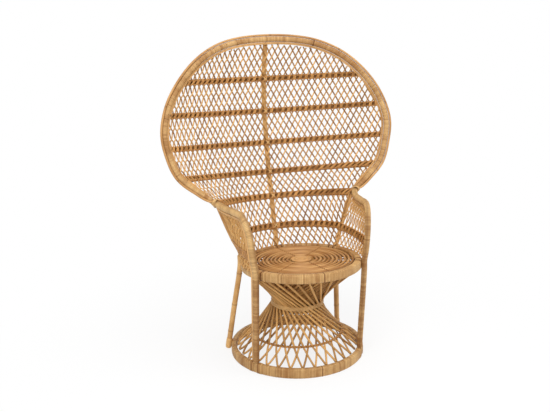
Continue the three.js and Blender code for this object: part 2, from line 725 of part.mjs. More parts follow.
// Arm panels: a patch between the seat hoop, the stile, the arm bead and the post bead
function armPanel(turn) {
  const beadInside = (share) => {
    const { point, out } = rimStation(share);
    return point.addScaledVector(out, armInnerOffset - TOUCH_GAP);
  };
  const top = (s) => beadInside(lerp(NECK_SHARE, CORNER_SHARE, s));
  const front = (t) => beadInside(lerp(SEAT_SHARE, CORNER_SHARE, t));
  const rear = (t) => {
    const level = lerp(FOOT_HEIGHT, STILE_TOP_LEVEL, t);
    return surfacePoint(stileAngle(level), level).lerp(top(0), t * t);
  };
  const start = front(0);
  const frontAngle = Math.atan2(start.x, start.y - SEAT_Y);
  const bottom = (s) => {
    const angle = lerp(stileAngle(FOOT_HEIGHT), frontAngle, s);
    const point = vec(BACK_FOOT_RADIUS * Math.sin(angle), SEAT_Y + BACK_FOOT_RADIUS * Math.cos(angle), 0);
    point.z = hoopTop(point.x, point.y);
    return point;
  };
  const patch = (s, t) => {
    const point = bottom(s).multiplyScalar(1 - t).addScaledVector(top(s), t);
    point.addScaledVector(rear(t), 1 - s).addScaledVector(front(t), s);
    point.addScaledVector(bottom(0), -(1 - s) * (1 - t)).addScaledVector(bottom(1), -s * (1 - t));
    return point.addScaledVector(top(0), -(1 - s) * t).addScaledVector(top(1), -s * t);
  };
  const climbing = (s, t) => patch(s, t + ARM_BAND_CLIMB * (s - 0.5) * 4 * t * (1 - t));
  return (s, t, depth) => {
    const small = 0.01;
    const across = climbing(s + small, t).sub(climbing(s - small, t));
    const rise = climbing(s, t + small).sub(climbing(s, t - small));
    const normal = rise.cross(across).normalize();
    return turn(climbing(s, t).addScaledVector(normal, depth));
  };
}

function armLattices() {
  for (const [side, turn] of [["right", (point) => point], ["left", mirrored]]) {
    const place = armPanel(turn);
    const tall = place(0.5, 1, 0).distanceTo(place(0.5, 0, 0));
    const long = place(1, 0.5, 0).distanceTo(place(0, 0.5, 0));
    const bandHalf = BAND_TALL / 2 / tall;
    const beadGap = ARM_LATTICE_GAP / tall;
    const bandGap = LATTICE_BAND_GAP / tall;
    const rearGap = ARM_LATTICE_REAR_GAP / long;
    const frontGap = (LATTICE_STRAND + ARM_LATTICE_GAP) / long;
    const centre = (rearGap + 1 - frontGap) / 2;
    const spans = [
      ["lower", LATTICE_FOOT_GAP / tall, ARM_BAND_SHARE - bandHalf - bandGap],
      ["upper", ARM_BAND_SHARE + bandHalf + bandGap, 1 - beadGap],
    ];
    for (const [name, from, to] of spans) {
      const run = (1 - rearGap - frontGap) / ARM_LATTICE_COLUMNS;
      const size = crossingSize(LATTICE_STRAND, (run * long) / 2, ((to - from) * tall) / 2);
      const half = { wide: size.wide / long, tall: size.tall / tall };
      const net = diagonalNet({
        columns: 2 * ARM_LATTICE_COLUMNS,
        tiers: 1,
        columnWidth: run,
        low: from + half.tall,
        high: to - half.tall,
        inside: ({ across }) => Math.abs(across) <= (1 - rearGap - frontGap) / 2 + 1e-6,
        half,
      });
      const centred = (across, up, depth) => place(across + centre, up, depth);
      addNet(`arm_lattice_${name}_${side}`, net.crossings, net.links, half, LATTICE_THICKNESS, centred);
    }
    const rings = Array.from({ length: BAND_STEPS + 1 }, (_, step) => {
      const s = lerp(rearGap, 1 - frontGap, step / BAND_STEPS);
      return bandSection.map(([above, depth]) => place(s, ARM_BAND_SHARE + above / tall, depth));
    });
    addPiece(`arm_band_${side}`, DARK_TWINE, rings.flat(), skin(rings, false));
  }
}

// Pedestal pieces
const FLOOR_FRAME = new THREE.Matrix4();
const waistFrame = new THREE.Matrix4().makeTranslation(0, -WAIST_RING_FORWARD, WAIST_RING_HEIGHT);

function hoopsAndRings() {
  const baseTop = new THREE.Matrix4().makeTranslation(0, 0, BASE_HOOP_HEIGHT);
  const baseSection = hoopSection(BASE_HOOP_THICKNESS, BASE_HOOP_HEIGHT, HOOP_CORNER);
  sweep("base_hoop", WRAP, hoopStations(BASE_HOOP_RADIUS, baseTop), baseSection, true);
  const seatSection = hoopSection(SEAT_HOOP_THICKNESS, SEAT_HOOP_HEIGHT, HOOP_CORNER);
  sweep("seat_hoop", WRAP, hoopStations(SEAT_HOOP_RADIUS, SEAT_TURN), seatSection, true);
  const midFrame = FLOOR_FRAME.clone().makeTranslation(0, 0, MID_RING_HEIGHT);
  const midSection = ovalSection(MID_RING_DIAMETER, MID_RING_DIAMETER, RAIL_SIDES);
  sweep("pedestal_mid_ring", DARK_TWINE, hoopStations(MID_RING_RADIUS, midFrame), midSection, true);
  const waistSection = ovalSection(WAIST_RING_THICKNESS, WAIST_RING_TALL, RAIL_SIDES);
  sweep("pedestal_waist_ring", WRAP, hoopStations(WAIST_RING_RADIUS, waistFrame), waistSection, true);
}

// Straight strands leaning round the axis from a binder ring at one end to free tips at the other
function twist(name, from, to, turnDeg) {
  const strands = PEDESTAL_STRANDS;
  const turn = rad(turnDeg);
  const spread = from(0, 0).distanceTo(from(Math.PI, 0)) / 2;
  const reach = to(0, 0).distanceTo(to(Math.PI, 0)) / 2;
  const points = [];
  const share = BINDER_TALL / from(0, 0).distanceTo(to(turn, 0));
  const rows = [0, share, 1];
  for (const depth of [PEDESTAL_STRAND_THICKNESS / 2, -PEDESTAL_STRAND_THICKNESS / 2]) {
    for (const along of rows) {
      for (let strand = 0; strand < strands; strand += 1) {
        for (const edge of [-1, 1]) {
          const angle = (strand / strands) * 2 * Math.PI;
          const start = from(angle + (edge * PEDESTAL_STRAND_WIDTH) / 2 / spread, depth);
          const end = to(angle + turn + (edge * PEDESTAL_STRAND_WIDTH) / 2 / reach, depth);
          points.push(start.lerp(end, along));
        }
      }
    }
  }
  const perRow = strands * 2;
  const perFace = perRow * rows.length;
  const id = (row, column) => row * perRow + (column % perRow);
  const triangles = [];
  const wall = (a, b) => triangles.push([a, a + perFace, b + perFace], [a, b + perFace, b]);
  const cell = (a, b, c, d) => {
    for (const [p, q, r] of [[a, b, c], [a, c, d]]) {
      triangles.push([p, q, r], [p + perFace, r + perFace, q + perFace]);
    }
  };
  for (let column = 0; column < perRow; column += 1) {
    cell(id(0, column), id(0, column + 1), id(1, column + 1), id(1, column));
    wall(id(0, column), id(0, column + 1));
    if (column % 2 === 0) {
      cell(id(1, column), id(1, column + 1), id(2, column + 1), id(2, column));
      wall(id(1, column + 1), id(2, column + 1));
      wall(id(2, column + 1), id(2, column));
      wall(id(2, column), id(1, column));
    } else {
      wall(id(1, column + 1), id(1, column));
    }
  }
  addPiece(name, STRAND, points, triangles);
}

function pedestal() {
  const ring = (frame, radius, height) => (angle, depth) =>
    vec((radius + depth) * Math.sin(angle), (radius + depth) * Math.cos(angle), height).applyMatrix4(frame);
  const seatRadius = SEAT_HOOP_RADIUS - SEAT_HOOP_THICKNESS / 2;
  const seatUnderside = ring(SEAT_TURN, seatRadius, -SEAT_HOOP_HEIGHT - TOUCH_GAP);
  const waistHalf = WAIST_RING_TALL / 2 + TOUCH_GAP;
  const midHalf = MID_RING_DIAMETER / 2 + TOUCH_GAP;
  const aboveWaist = ring(waistFrame, WAIST_RING_RADIUS, waistHalf);
  const belowWaist = ring(waistFrame, WAIST_RING_RADIUS, -waistHalf);
  const aboveMid = ring(FLOOR_FRAME, MID_RING_RADIUS, MID_RING_HEIGHT + midHalf);
  twist("pedestal_upper_twist", seatUnderside, aboveWaist, -UPPER_TWIST_DEG);
  twist("pedestal_lower_twist", aboveMid, belowWaist, LOWER_TWIST_DEG);
  skirt(MID_RING_HEIGHT - midHalf);
}

// Two crossing families of strands between the mid ring and the base hoop
function skirt(topHeight) {
  const bottomHeight = BASE_HOOP_HEIGHT - HOOP_CORNER;
  const bottomRadius = BASE_HOOP_RADIUS - BASE_HOOP_THICKNESS - SKIRT_TUCK - PEDESTAL_STRAND_THICKNESS / 2;
  const slant = Math.hypot(topHeight - bottomHeight, bottomRadius - MID_RING_RADIUS);
  const middle = (bottomRadius + MID_RING_RADIUS) / 2;
  const run = (2 * Math.PI * middle) / PEDESTAL_STRANDS;
  const size = crossingSize(PEDESTAL_STRAND_WIDTH, run / 2, slant / 2);
  const half = { wide: size.wide / middle, tall: size.tall / slant };
  const crossings = [];
  const links = [];
  const count = PEDESTAL_STRANDS;
  for (let row = 0; row < 3; row += 1) {
    for (let column = 0; column < count; column += 1) {
      const across = ((column + (row % 2) / 2) / count) * 2 * Math.PI;
      crossings.push({ across, up: lerp(half.tall, 1 - half.tall, row / 2) });
    }
  }
  for (let column = 0; column < count; column += 1) {
    const before = (column + count - 1) % count;
    const after = (column + 1) % count;
    links.push({ from: column, to: count + column, lean: "right" });
    links.push({ from: column, to: count + before, lean: "left" });
    links.push({ from: count + column, to: 2 * count + after, lean: "right" });
    links.push({ from: count + column, to: 2 * count + column, lean: "left" });
  }
  const place = (angle, up, depth) => {
    const radius = lerp(bottomRadius, MID_RING_RADIUS, up) + depth;
    return vec(radius * Math.sin(angle), radius * Math.cos(angle), lerp(bottomHeight, topHeight, up));
  };
  addNet("pedestal_skirt", crossings, links, half, PEDESTAL_STRAND_THICKNESS, place);
}

// Seat mat: one unbroken coil on a wheel of spokes, with a woven button in the middle
function seatMat() {
  const hollow = SEAT_HOOP_RADIUS - SEAT_HOOP_THICKNESS;
  const coilHeight = -SEAT_COIL_DROP - SEAT_COIL_DIAMETER / 2;
  const outerRadius = hollow - TOUCH_GAP - SEAT_COIL_DIAMETER / 2;
  const steps = SEAT_COIL_TURNS * COIL_STEPS_PER_TURN;
  const spiral = (step) => {
    const angle = (step / COIL_STEPS_PER_TURN) * 2 * Math.PI;
    const radius = lerp(SEAT_COIL_INNER_RADIUS, outerRadius, step / steps);
    return vec(radius * Math.cos(angle), radius * Math.sin(angle), coilHeight);
  };
  const centres = Array.from({ length: steps + 1 }, (_, step) => spiral(step));
  const stations = centres.map((centre) => ({
    point: centre.clone().applyMatrix4(SEAT_TURN),
    out: vec(centre.x, centre.y, 0).normalize().transformDirection(SEAT_TURN),
    normal: UP.clone().transformDirection(SEAT_TURN),
  }));
  sweep("seat_coil", HONEY, stations, roundSection(SEAT_COIL_DIAMETER, COIL_SIDES));
  let least = Infinity;
  for (let step = 0; step + COIL_STEPS_PER_TURN <= steps; step += 1) {
    const apart = centres[step].distanceTo(centres[step + COIL_STEPS_PER_TURN]) - SEAT_COIL_DIAMETER;
    least = Math.min(least, apart);
  }
  console.log(`seat coil: least gap to itself ${least.toFixed(2)} mm`);

  const spokeTop = coilHeight - SEAT_COIL_DIAMETER / 2 - TOUCH_GAP;
  const star = [];
  for (let spoke = 0; spoke < SEAT_SPOKES; spoke += 1) {
    const angle = ((spoke + 0.5) / SEAT_SPOKES) * 2 * Math.PI;
    const half = SEAT_SPOKE_WIDTH / 2;
    const tip = Math.sqrt((hollow - TOUCH_GAP) ** 2 - half ** 2) * Math.cos(Math.PI / HOOP_STEPS);
    const corners = [[SEAT_HUB_RADIUS, -half], [tip, -half], [tip, half], [SEAT_HUB_RADIUS, half]];
    for (const [along, across] of corners) {
      const x = along * Math.cos(angle) - across * Math.sin(angle);
      const y = along * Math.sin(angle) + across * Math.cos(angle);
      star.push(new THREE.Vector2(x, y));
    }
  }
  addSlab("seat_spokes", STRAND, star, spokeTop - SEAT_SPOKE_DEPTH, spokeTop);
  const button = Array.from({ length: HOOP_STEPS / 2 }, (_, step) => {
    const angle = (step / (HOOP_STEPS / 2)) * 2 * Math.PI;
    return new THREE.Vector2(SEAT_BUTTON_RADIUS * Math.cos(angle), SEAT_BUTTON_RADIUS * Math.sin(angle));
  });
  addSlab("seat_centre_button", HONEY, button, spokeTop + TOUCH_GAP, -SEAT_COIL_DROP);
}

// A flat outline given thickness in the seat's own plane
function addSlab(name, finish, outline, low, high) {
  const count = outline.length;
  const raised = (height) => outline.map(({ x, y }) => vec(x, y, height).applyMatrix4(SEAT_TURN));
  const points = [...raised(high), ...raised(low)];
  const triangles = [];
  for (const [a, b, c] of THREE.ShapeUtils.triangulateShape(outline, [])) {
    triangles.push([a, b, c], [a + count, c + count, b + count]);
  }
  for (let index = 0; index < count; index += 1) {
    const next = (index + 1) % count;
    triangles.push([index, index + count, next + count], [index, next + count, next]);
  }
  addPiece(name, finish, points, triangles);
}

hoopsAndRings();
pedestal();
seatMat();
arms();
fanRim();
neckBindings();
rearLegs();
stiles();
centrePost();
backBands();
backLattice();
armLattices();

// The origin goes on the floor under the middle of the chair's outer box
const box = new THREE.Box3().setFromObject(chair);
const middle = box.getCenter(vec(0, 0, 0));
chair.position.set(-middle.x, -middle.y, -box.min.z);

export default chair;
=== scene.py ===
import json
import math

import bpy
import numpy as np
from mathutils import Matrix, Vector


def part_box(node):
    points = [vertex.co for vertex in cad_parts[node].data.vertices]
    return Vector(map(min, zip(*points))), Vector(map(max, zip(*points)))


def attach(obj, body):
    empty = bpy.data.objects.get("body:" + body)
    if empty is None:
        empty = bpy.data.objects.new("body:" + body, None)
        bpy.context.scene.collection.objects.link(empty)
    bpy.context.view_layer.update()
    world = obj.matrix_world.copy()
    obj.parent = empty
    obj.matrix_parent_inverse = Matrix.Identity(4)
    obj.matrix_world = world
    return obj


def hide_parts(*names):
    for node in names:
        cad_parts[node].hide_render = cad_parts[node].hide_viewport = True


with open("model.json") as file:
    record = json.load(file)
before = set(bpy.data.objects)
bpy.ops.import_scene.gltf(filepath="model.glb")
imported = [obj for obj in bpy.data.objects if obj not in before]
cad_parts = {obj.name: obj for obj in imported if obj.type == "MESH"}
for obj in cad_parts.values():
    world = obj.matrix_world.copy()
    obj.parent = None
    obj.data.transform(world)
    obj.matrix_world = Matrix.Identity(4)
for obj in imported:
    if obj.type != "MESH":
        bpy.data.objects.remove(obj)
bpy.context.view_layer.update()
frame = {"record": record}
base_low, base_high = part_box("base_hoop")
AXIS_Y = (base_low.y + base_high.y) / 2
MM = 0.001
TURN = 2 * math.pi
UP = np.array([0.0, 0.0, 1.0])
rng = np.random.default_rng(11)

# Sizes shared with the solids, in millimetres
BASE_HOOP = {"radius": 308, "thickness": 24, "height": 46}
SEAT_HOOP = {"radius": 271, "thickness": 30, "height": 40}
HOOP_CORNER = 8
MID_RING_RADIUS = 210
MID_RING_HEIGHT = 107
WAIST_RING_RADIUS = 115
WAIST_RING_HEIGHT = 253
WAIST_RING_FORWARD = 10
WAIST_RING_THICKNESS = 14
SEAT_HEIGHT = 474
SEAT_FORWARD = 65
SEAT_TILT = math.radians(3)
BACK_TOP_HEIGHT = 1415
BACK_FOOT_RADIUS = 261
LEVEL_SHARES = np.array([0, 0.08, 0.2155, 0.3338, 0.4805, 0.6386, 0.8031, 1])
LEVEL = {
    "setback": np.array([196, 262, 340, 384, 413, 439, 436, 398], float),
    "radius": np.array([261, 292, 350, 650, 775, 770, 680, 560], float),
    "rise": np.array([0.0524, 0.1, 0.18, 0.21, 0.19, 0.17, 0.11, 0.06]),
}
FAN_RIM_ANGLES = np.radians([14.5, 25, 34.4, 40.5, 42.5, 43.3, 43.8, 46.8, 55])
FAN_RIM_SHARES = np.array([0.9878, 0.9526, 0.8728, 0.747, 0.5913, 0.4249, 0.2828, 0.161, 0.069])
ARM_POINTS = np.array([(342, 121, 716), (316, 55, 706), (298, -48, 711), (287, -138, 709)], float)
POST_POINTS = [(272, -185, 639.91), (260, -197, 526.99)]
POST_ANGLE = math.radians(123)
FAN_RAIL_WIDTH = 26
FAN_RAIL_THICKNESS = 22
FAN_RIM_LEAN = math.radians(14)
ARM_RAIL_WIDTH = 30
ARM_RAIL_THICKNESS = 26
BEAD_DIAMETER = 11
OUTER_POLE_DIAMETER = 10
NECK_BINDING_LENGTH = 34
RIM_GAP = 0.8
POLE_GAP = 0.3
BAND_GAP = 0.5
POST_DIAMETER = 22
POST_FOOT_ANGLE = math.radians(-5.4)
STILE_DIAMETER = 20
LEG_DIAMETER = 24
LEG_FOOT_RADIUS = 327
LEG_FOOT_HEIGHT = 2.4
LEG_ANGLES = {"right": np.radians([55, 57]), "left": np.radians([60, 67])}
STILE_FOOT_ANGLE = math.radians(57)
STILE_TOP_ANGLE = math.radians(67)
STILE_TOP_DROP = 21
STILE_TOP_REACH = 18
LATTICE_BOW = math.radians(4)
NECK_RISE = 8
BAND_THICKNESS = 12
ARM_BAND_SHARE = 0.36
ARM_BAND_CLIMB = 0.1

# Sizes of the pedestal's and the seat's strands
UPPER_TWIST = math.radians(58)
LOWER_TWIST = math.radians(37)
TWIST_SWAY = math.radians(14)
SWAY_ANGLE = math.radians(189)
INNER_UPPER_TWIST = math.radians(72)
INNER_LOWER_TWIST = math.radians(44)
PEDESTAL_STRANDS = 32
INNER_UPPER_STRANDS = 48
PEDESTAL_STRAND_DIAMETER = 10.2
INNER_STRAND_WIDTHS = (9.6, 19.6)
OUTER_WAIST_INSET = 3.5
INNER_WAIST_INSET = 18
SKIRT_STRAND_DIAMETER = 9.2
SKIRT_TWIST = math.radians(8)
SKIRT_LIFT = 3.4
WAIST_CANE_HEIGHTS = (-6.6, 0, 6.6)
WAIST_CANE_TALL = 7.0
MID_RING_TURNS = 58
MID_RING_SWING = 3.1
MID_RING_CANE = 6.6
COIL_DIAMETER = 10.5
COIL_TURNS = 10
COIL_INNER_RADIUS = 54
BUTTON_CANE = 6.2
SPOKES = 8
SPOKE_DIAMETER = 11.5
RIB_DIAMETER = 8.0
HUB_RADII = (20, 30)
HUB_CANE = 10.5
STITCH_ANGLES = np.radians([45, 101.25, 225, 281.25])
STITCH_WIDTH = 3.0

# Sizes of the peel and the weave
PEEL_PITCH = 5.6
ARM_PEEL_PITCH = 6.4
HOOP_PEEL_PITCH = 6.6
PEEL_GROOVE = 0.9
HOOP_PEEL_GROOVE = 0.7
PEEL_PROFILE = np.array([(0.0, 1.0), (0.09, 0.3), (0.3, 0.0), (0.7, 0.0), (0.91, 0.3)])
PEEL_END_TONE, PEEL_END_SEAM = 0.2, 0.9
HOOP_PEEL_ENDS = [(178, 3.0), (161, 1.6), (217, 1.6), (322, 3.0), (38, 2.4)]
FAN_PEEL_ENDS = [(0.5545, 6.0), (0.463, 2.0), (0.64, 2.0), (0.335, 2.4)]
FAN_RAIL_CORNER = 10.5
ARM_RAIL_CORNER = 12.5
RIM_CANE = 5.7
BINDING_TURNS = 5
BINDING_PEEL = 5.6
LASHING_PEEL = 4.6
LASHING_DEPTH = 9.5
LASHING_REACH = (15, 13, 20.5)
# Straps beside each pole: distance from the pole, width, tone and darkness; the dark turns next to the pole
# are painted shade.
STRAPS = ((1, 7.0, 0.1, 1.0), (9, 6.0, 0.3, 0.3), (16, 6.0, 0.55, 0.0))
STRAND_DIAMETER = 7.2
STRAND_FLAT = 0.65
ARM_STRAND_DIAMETER = 6.4
ARM_STRAND_FLAT = 0.9
WEAVE_FORWARD = 2.4
DIAMOND_WIDTH = 29.0
ARCH_HALF_DIAMOND = 26.0
ROW_STEP = 0.2
LEVEL_HALF_ROWS = np.array([0, 4, 10, 16, 22, 28, 34])
ARM_HALF_ROWS = (0, 4, 10)
PANEL_SLIT = 0.04
BAND_CANE_HEIGHTS = (-9, -3, 3, 9)
BAND_CANE_WIDTH = 8.0
BAND_CANE_DEPTH = 2.8
BAND_TWINE_HEIGHTS = (-9.6, 9.6)
BAND_TWINE_DEPTH = -6.4
BAND_TWINE_SWING = 1.6
BAND_TWINE_DIAMETER = 3.8
BAND_LOOP_SIZE = (11.8, 6.6)
BAND_LOOP_DEPTH = -2.4
BAND_LOOP_SLANT = 5.0
BAND_LOOP_WIDTH = 7.0
BAND_LOOP_PAIR = (-3.9, 3.9)
ROUNDING = 1e-6
NAIL_LINE = np.array([0.0, 0.5, 0.9, 1.15])
NAIL_DIAMETERS = np.array([3.4, 3.3, 2.4, 0.6])
NAIL_SINK = 0.6
FAN_NAIL_SHARES = (0.5, 0.455, 0.578, 0.586, 0.412, 0.61)


# Small helpers
def unit(vectors):
    return vectors / np.linalg.norm(vectors, axis=-1, keepdims=True)


def blend(low, high, share):
    return low + (high - low) * share


def stacked(x, y, z):
    return np.stack(np.broadcast_arrays(x, y, z), -1)


def bearing(angle):
    return np.stack([np.cos(angle), np.sin(angle)], -1)


def full_turn(count):
    return np.linspace(0, TURN, count, endpoint=False)


def round_axis(radius, angle, height):
    """Points round the upright axis, at angles from the rear."""
    return stacked(radius * np.sin(angle), radius * np.cos(angle), height)


def boxy(wave, power):
    """A wave with flattened crests, for loops that fill their corners."""
    return np.sign(wave) * np.abs(wave) ** power


def bump(far, place, reach):
    """One at a place along a strand, and nothing away from it."""
    return np.exp(-(((far - place) / reach) ** 2))


def unmoved(points):
    return points


def mirrored(points):
    return points * np.array([-1.0, 1.0, 1.0])


SIDES = {"right": unmoved, "left": mirrored}


def hoop_top(y):
    return SEAT_HEIGHT - (y + SEAT_FORWARD) * math.tan(SEAT_TILT)


def seat_place(points):
    """Moves points from the seat's own plane to its place on the pedestal."""
    cos, sin = math.cos(SEAT_TILT), math.sin(SEAT_TILT)
    x, y, z = np.moveaxis(points, -1, 0)
    return stacked(x, y * cos + z * sin - SEAT_FORWARD, z * cos - y * sin + SEAT_HEIGHT)


def waist_place(points):
    return points + np.array([0, -WAIST_RING_FORWARD, WAIST_RING_HEIGHT])


# Back surface
FOOT_HEIGHT = hoop_top(LEVEL["setback"][0])
LEVEL_HEIGHTS = blend(FOOT_HEIGHT, BACK_TOP_HEIGHT, LEVEL_SHARES)
BAND_HEIGHTS = LEVEL_HEIGHTS[1:-1]
LAST_LEVEL = len(LEVEL_SHARES) - 1
BEFORE = np.maximum(np.arange(LAST_LEVEL + 1) - 1, 0)
AFTER = np.minimum(np.arange(LAST_LEVEL + 1) + 1, LAST_LEVEL)
LEVEL_ROUNDS = 8


def level_value(key, height):
    """A value of the back at a height, smooth through the values at its levels."""
    values = LEVEL[key]
    slopes = (values[AFTER] - values[BEFORE]) / (LEVEL_HEIGHTS[AFTER] - LEVEL_HEIGHTS[BEFORE])
    at = np.clip(height, FOOT_HEIGHT, BACK_TOP_HEIGHT)
    low = np.clip(np.searchsorted(LEVEL_HEIGHTS, at) - 1, 0, LAST_LEVEL - 1)
    span = LEVEL_HEIGHTS[low + 1] - LEVEL_HEIGHTS[low]
    t = (at - LEVEL_HEIGHTS[low]) / span
    start = (2 * t**3 - 3 * t**2 + 1) * values[low] + (t**3 - 2 * t**2 + t) * span * slopes[low]
    return start + (3 * t**2 - 2 * t**3) * values[low + 1] + (t**3 - t**2) * span * slopes[low + 1]


def surface_point(angle, level):
    radius = level_value("radius", level)
    forward = radius * (1 - np.cos(angle))
    height = level + level_value("rise", level) * forward
    return stacked(radius * np.sin(angle), level_value("setback", level) - forward, height)


def surface_normal(angle, level):
    """Direction away from the sitter."""
    turn = 1 / level_value("radius", level)
    across = surface_point(angle + turn, level) - surface_point(angle - turn, level)
    rise = surface_point(angle, level + 1) - surface_point(angle, level - 1)
    return unit(np.cross(rise, across))


def off_surface(angle, level, depth):
    """Points at depths behind the back's surface, and its normals there."""
    angle, level, depth = np.broadcast_arrays(angle, level, depth)
    normal = surface_normal(angle, level)
    return surface_point(angle, level) + normal * depth[..., None], normal


def level_of(points):
    """The level at which points lie on the back's surface, found in a few rounds."""
    level = points[..., 2]
    for _ in range(LEVEL_ROUNDS):
        forward = level_value("setback", level) - points[..., 1]
        level = points[..., 2] - level_value("rise", level) * forward
    return level


# One curve from the left foot over the fan to the right foot
class Curve:
    """Smooth curve through points, as a share from 0 to 1 with equal shares between points."""

    def __init__(self, points):
        inner = np.asarray(points, float)
        first = 2 * inner[0] - inner[1]
        last = 2 * inner[-1] - inner[-2]
        self.points = np.concatenate([[first], inner, [last]])
        self.spans = len(inner) - 1

    def point(self, share):
        place = np.clip(share, 0, 1) * self.spans
        index = np.minimum(place.astype(int), self.spans - 1)
        t = (place - index)[..., None]
        p0, p1, p2, p3 = (self.points[index + step] for step in range(4))
        gaps = (p1 - p0, p2 - p1, p3 - p2)
        d0, d1, d2 = (np.sqrt(np.linalg.norm(gap, axis=-1, keepdims=True)) for gap in gaps)
        start = ((p1 - p0) / d0 - (p2 - p0) / (d0 + d1) + (p2 - p1) / d1) * d1
        end = ((p2 - p1) / d1 - (p3 - p1) / (d1 + d2) + (p3 - p2) / d2) * d1
        bend = -3 * p1 + 3 * p2 - 2 * start - end
        return p1 + start * t + bend * t**2 + (2 * p1 - 2 * p2 + start + end) * t**3

    def along(self, share):
        return unit(self.point(np.minimum(share + 1e-4, 1)) - self.point(np.maximum(share - 1e-4, 0)))

    def even(self, start, end, step):
        """Shares at even distances between two shares, and those distances."""
        fine = np.linspace(start, end, 4000)
        steps = np.linalg.norm(np.diff(self.point(fine), axis=0), axis=1)
        far = np.concatenate([[0], np.cumsum(steps)])
        places = np.linspace(0, far[-1], max(int(round(far[-1] / step)), 2) + 1)
        return np.interp(places, far, fine), places


def post_at_seat(height):
    reach = SEAT_HOOP["radius"] + POLE_GAP + ARM_RAIL_THICKNESS / 2
    slant = math.asin((-SEAT_FORWARD - POST_POINTS[1][1]) / reach)
    return (reach * math.cos(slant), -SEAT_FORWARD - reach * math.sin(slant), height)


neck_level = level_of(ARM_POINTS[0])
STILE_TOP_LEVEL = neck_level - STILE_TOP_DROP
fan_points = surface_point(FAN_RIM_ANGLES, blend(neck_level, BACK_TOP_HEIGHT, FAN_RIM_SHARES))
post_foot = round_axis(BASE_HOOP["radius"] - BASE_HOOP["thickness"] / 2, POST_ANGLE, BASE_HOOP["height"])
at_seat = [post_at_seat(SEAT_HEIGHT), post_at_seat(SEAT_HEIGHT - SEAT_HOOP["height"])]
right_side = np.concatenate([fan_points, ARM_POINTS, POST_POINTS, at_seat, [post_foot]])
rim_top = surface_point(0.0, BACK_TOP_HEIGHT)
rim = Curve(np.concatenate([mirrored(right_side)[::-1], [rim_top], right_side]))


def rim_share(index):
    return (len(right_side) + 1 + index) / (2 * len(right_side))


NECK_SHARE = rim_share(len(fan_points))
CORNER_SHARE = rim_share(len(fan_points) + len(ARM_POINTS) - 1)
SEAT_SHARE = rim_share(len(fan_points) + len(ARM_POINTS) + len(POST_POINTS))


def rim_frame(share):
    """Points on the rim, outward directions in the back's surface, and directions away from the sitter."""
    share = np.asarray(share, float)
    point, along = rim.point(share), rim.along(share)
    level = level_of(point)
    centre = level_value("setback", level) - level_value("radius", level)
    radial = unit(stacked(point[..., 0], point[..., 1] - centre, 0.0))
    out = unit(np.cross(along, radial))
    normal = unit(np.cross(out, along))
    t = np.clip((point[..., 2] - ARM_POINTS[0][2]) / (BAND_HEIGHTS[3] - ARM_POINTS[0][2]), 0, 1)
    on_the_fan = np.abs(share - 0.5) < NECK_SHARE - 0.5
    lean = np.where(on_the_fan, FAN_RIM_LEAN * t * t * (3 - 2 * t), 0)[..., None]
    out = np.cos(lean) * out + np.sin(lean) * normal
    return point, out, unit(np.cross(out, along))


FAN_BEAD_OFFSET = -(FAN_RAIL_WIDTH / 2 + RIM_GAP + BEAD_DIAMETER / 2)
FAN_POLE_OFFSET = FAN_RAIL_WIDTH / 2 + RIM_GAP + OUTER_POLE_DIAMETER / 2
ARM_BEAD_OFFSET = -(ARM_RAIL_WIDTH / 2 + RIM_GAP + BEAD_DIAMETER / 2)
ARM_INNER_OFFSET = ARM_BEAD_OFFSET - BEAD_DIAMETER / 2

edge_point, edge_out, _ = rim_frame(np.linspace(0.5, NECK_SHARE, 400))
edge_inner = edge_point + edge_out * (FAN_BEAD_OFFSET - BEAD_DIAMETER / 2)
edge_level = level_of(edge_inner)
edge_centre = level_value("setback", edge_level) - level_value("radius", edge_level)
edge_angle = np.arctan2(edge_inner[:, 0], edge_inner[:, 1] - edge_centre)


def stile_angle(level):
    share = (level - FOOT_HEIGHT) / (STILE_TOP_LEVEL - FOOT_HEIGHT)
    return blend(STILE_FOOT_ANGLE, STILE_TOP_ANGLE, share)


def stile_edge(level):
    """Angle at which the lattice meets the straight stile, which stands off the curved back."""
    share = np.clip((level - BAND_HEIGHTS[0]) / (STILE_TOP_LEVEL - BAND_HEIGHTS[0]), 0, 1)
    return stile_angle(level) + LATTICE_BOW * 4 * share * (1 - share)


def lattice_edge(level):
    """Angle at which the lattice meets the rim, or below the neck the stile."""
    fan = np.interp(level, edge_level[::-1], edge_angle[::-1])
    fan = np.where(level > edge_level[0], -1, fan)
    return np.where(level < neck_level + NECK_RISE, stile_edge(level), fan)


# Meshes
GRAIN_SHIFT = 900


SLOTS = {part["node"]: part["material_slot"] for part in frame["record"]["subparts"]}
SKINS = []


class Skin:
    """Gathers the swept strands of one piece, which may stand for a CAD node."""

    def __init__(self, name, slot, *nodes):
        self.name, self.slot, self.nodes = name, slot, nodes
        SKINS.append(self)
        self.points, self.tones, self.seams, self.grains = [], [], [], []
        self.quads, self.caps = [], []
        self.count = 0

    def add(self, rings, grain, tone, seam, loop):
        rows, sides, _ = rings.shape
        ids = np.arange(rows * sides).reshape(rows, sides) + self.count
        near = ids if loop else ids[:-1]
        far = np.roll(ids, -1, axis=0) if loop else ids[1:]
        quads = [near, np.roll(near, -1, axis=1), np.roll(far, -1, axis=1), far]
        self.quads.append(np.stack(quads, -1).reshape(-1, 4))
        if not loop:
            self.caps += [ids[0][::-1], ids[-1]]
        self.points.append(rings.reshape(-1, 3))
        self.grains.append(grain.reshape(-1, 3))
        self.tones.append(np.broadcast_to(tone, (rows, sides)).ravel())
        self.seams.append(np.broadcast_to(seam, (rows, sides)).ravel())
        self.count += rows * sides


def skin_of(node, ending):
    """The skin of the piece that stands for one CAD node, with the node's slot."""
    return Skin(f"{node}_{ending}", SLOTS[node], node)


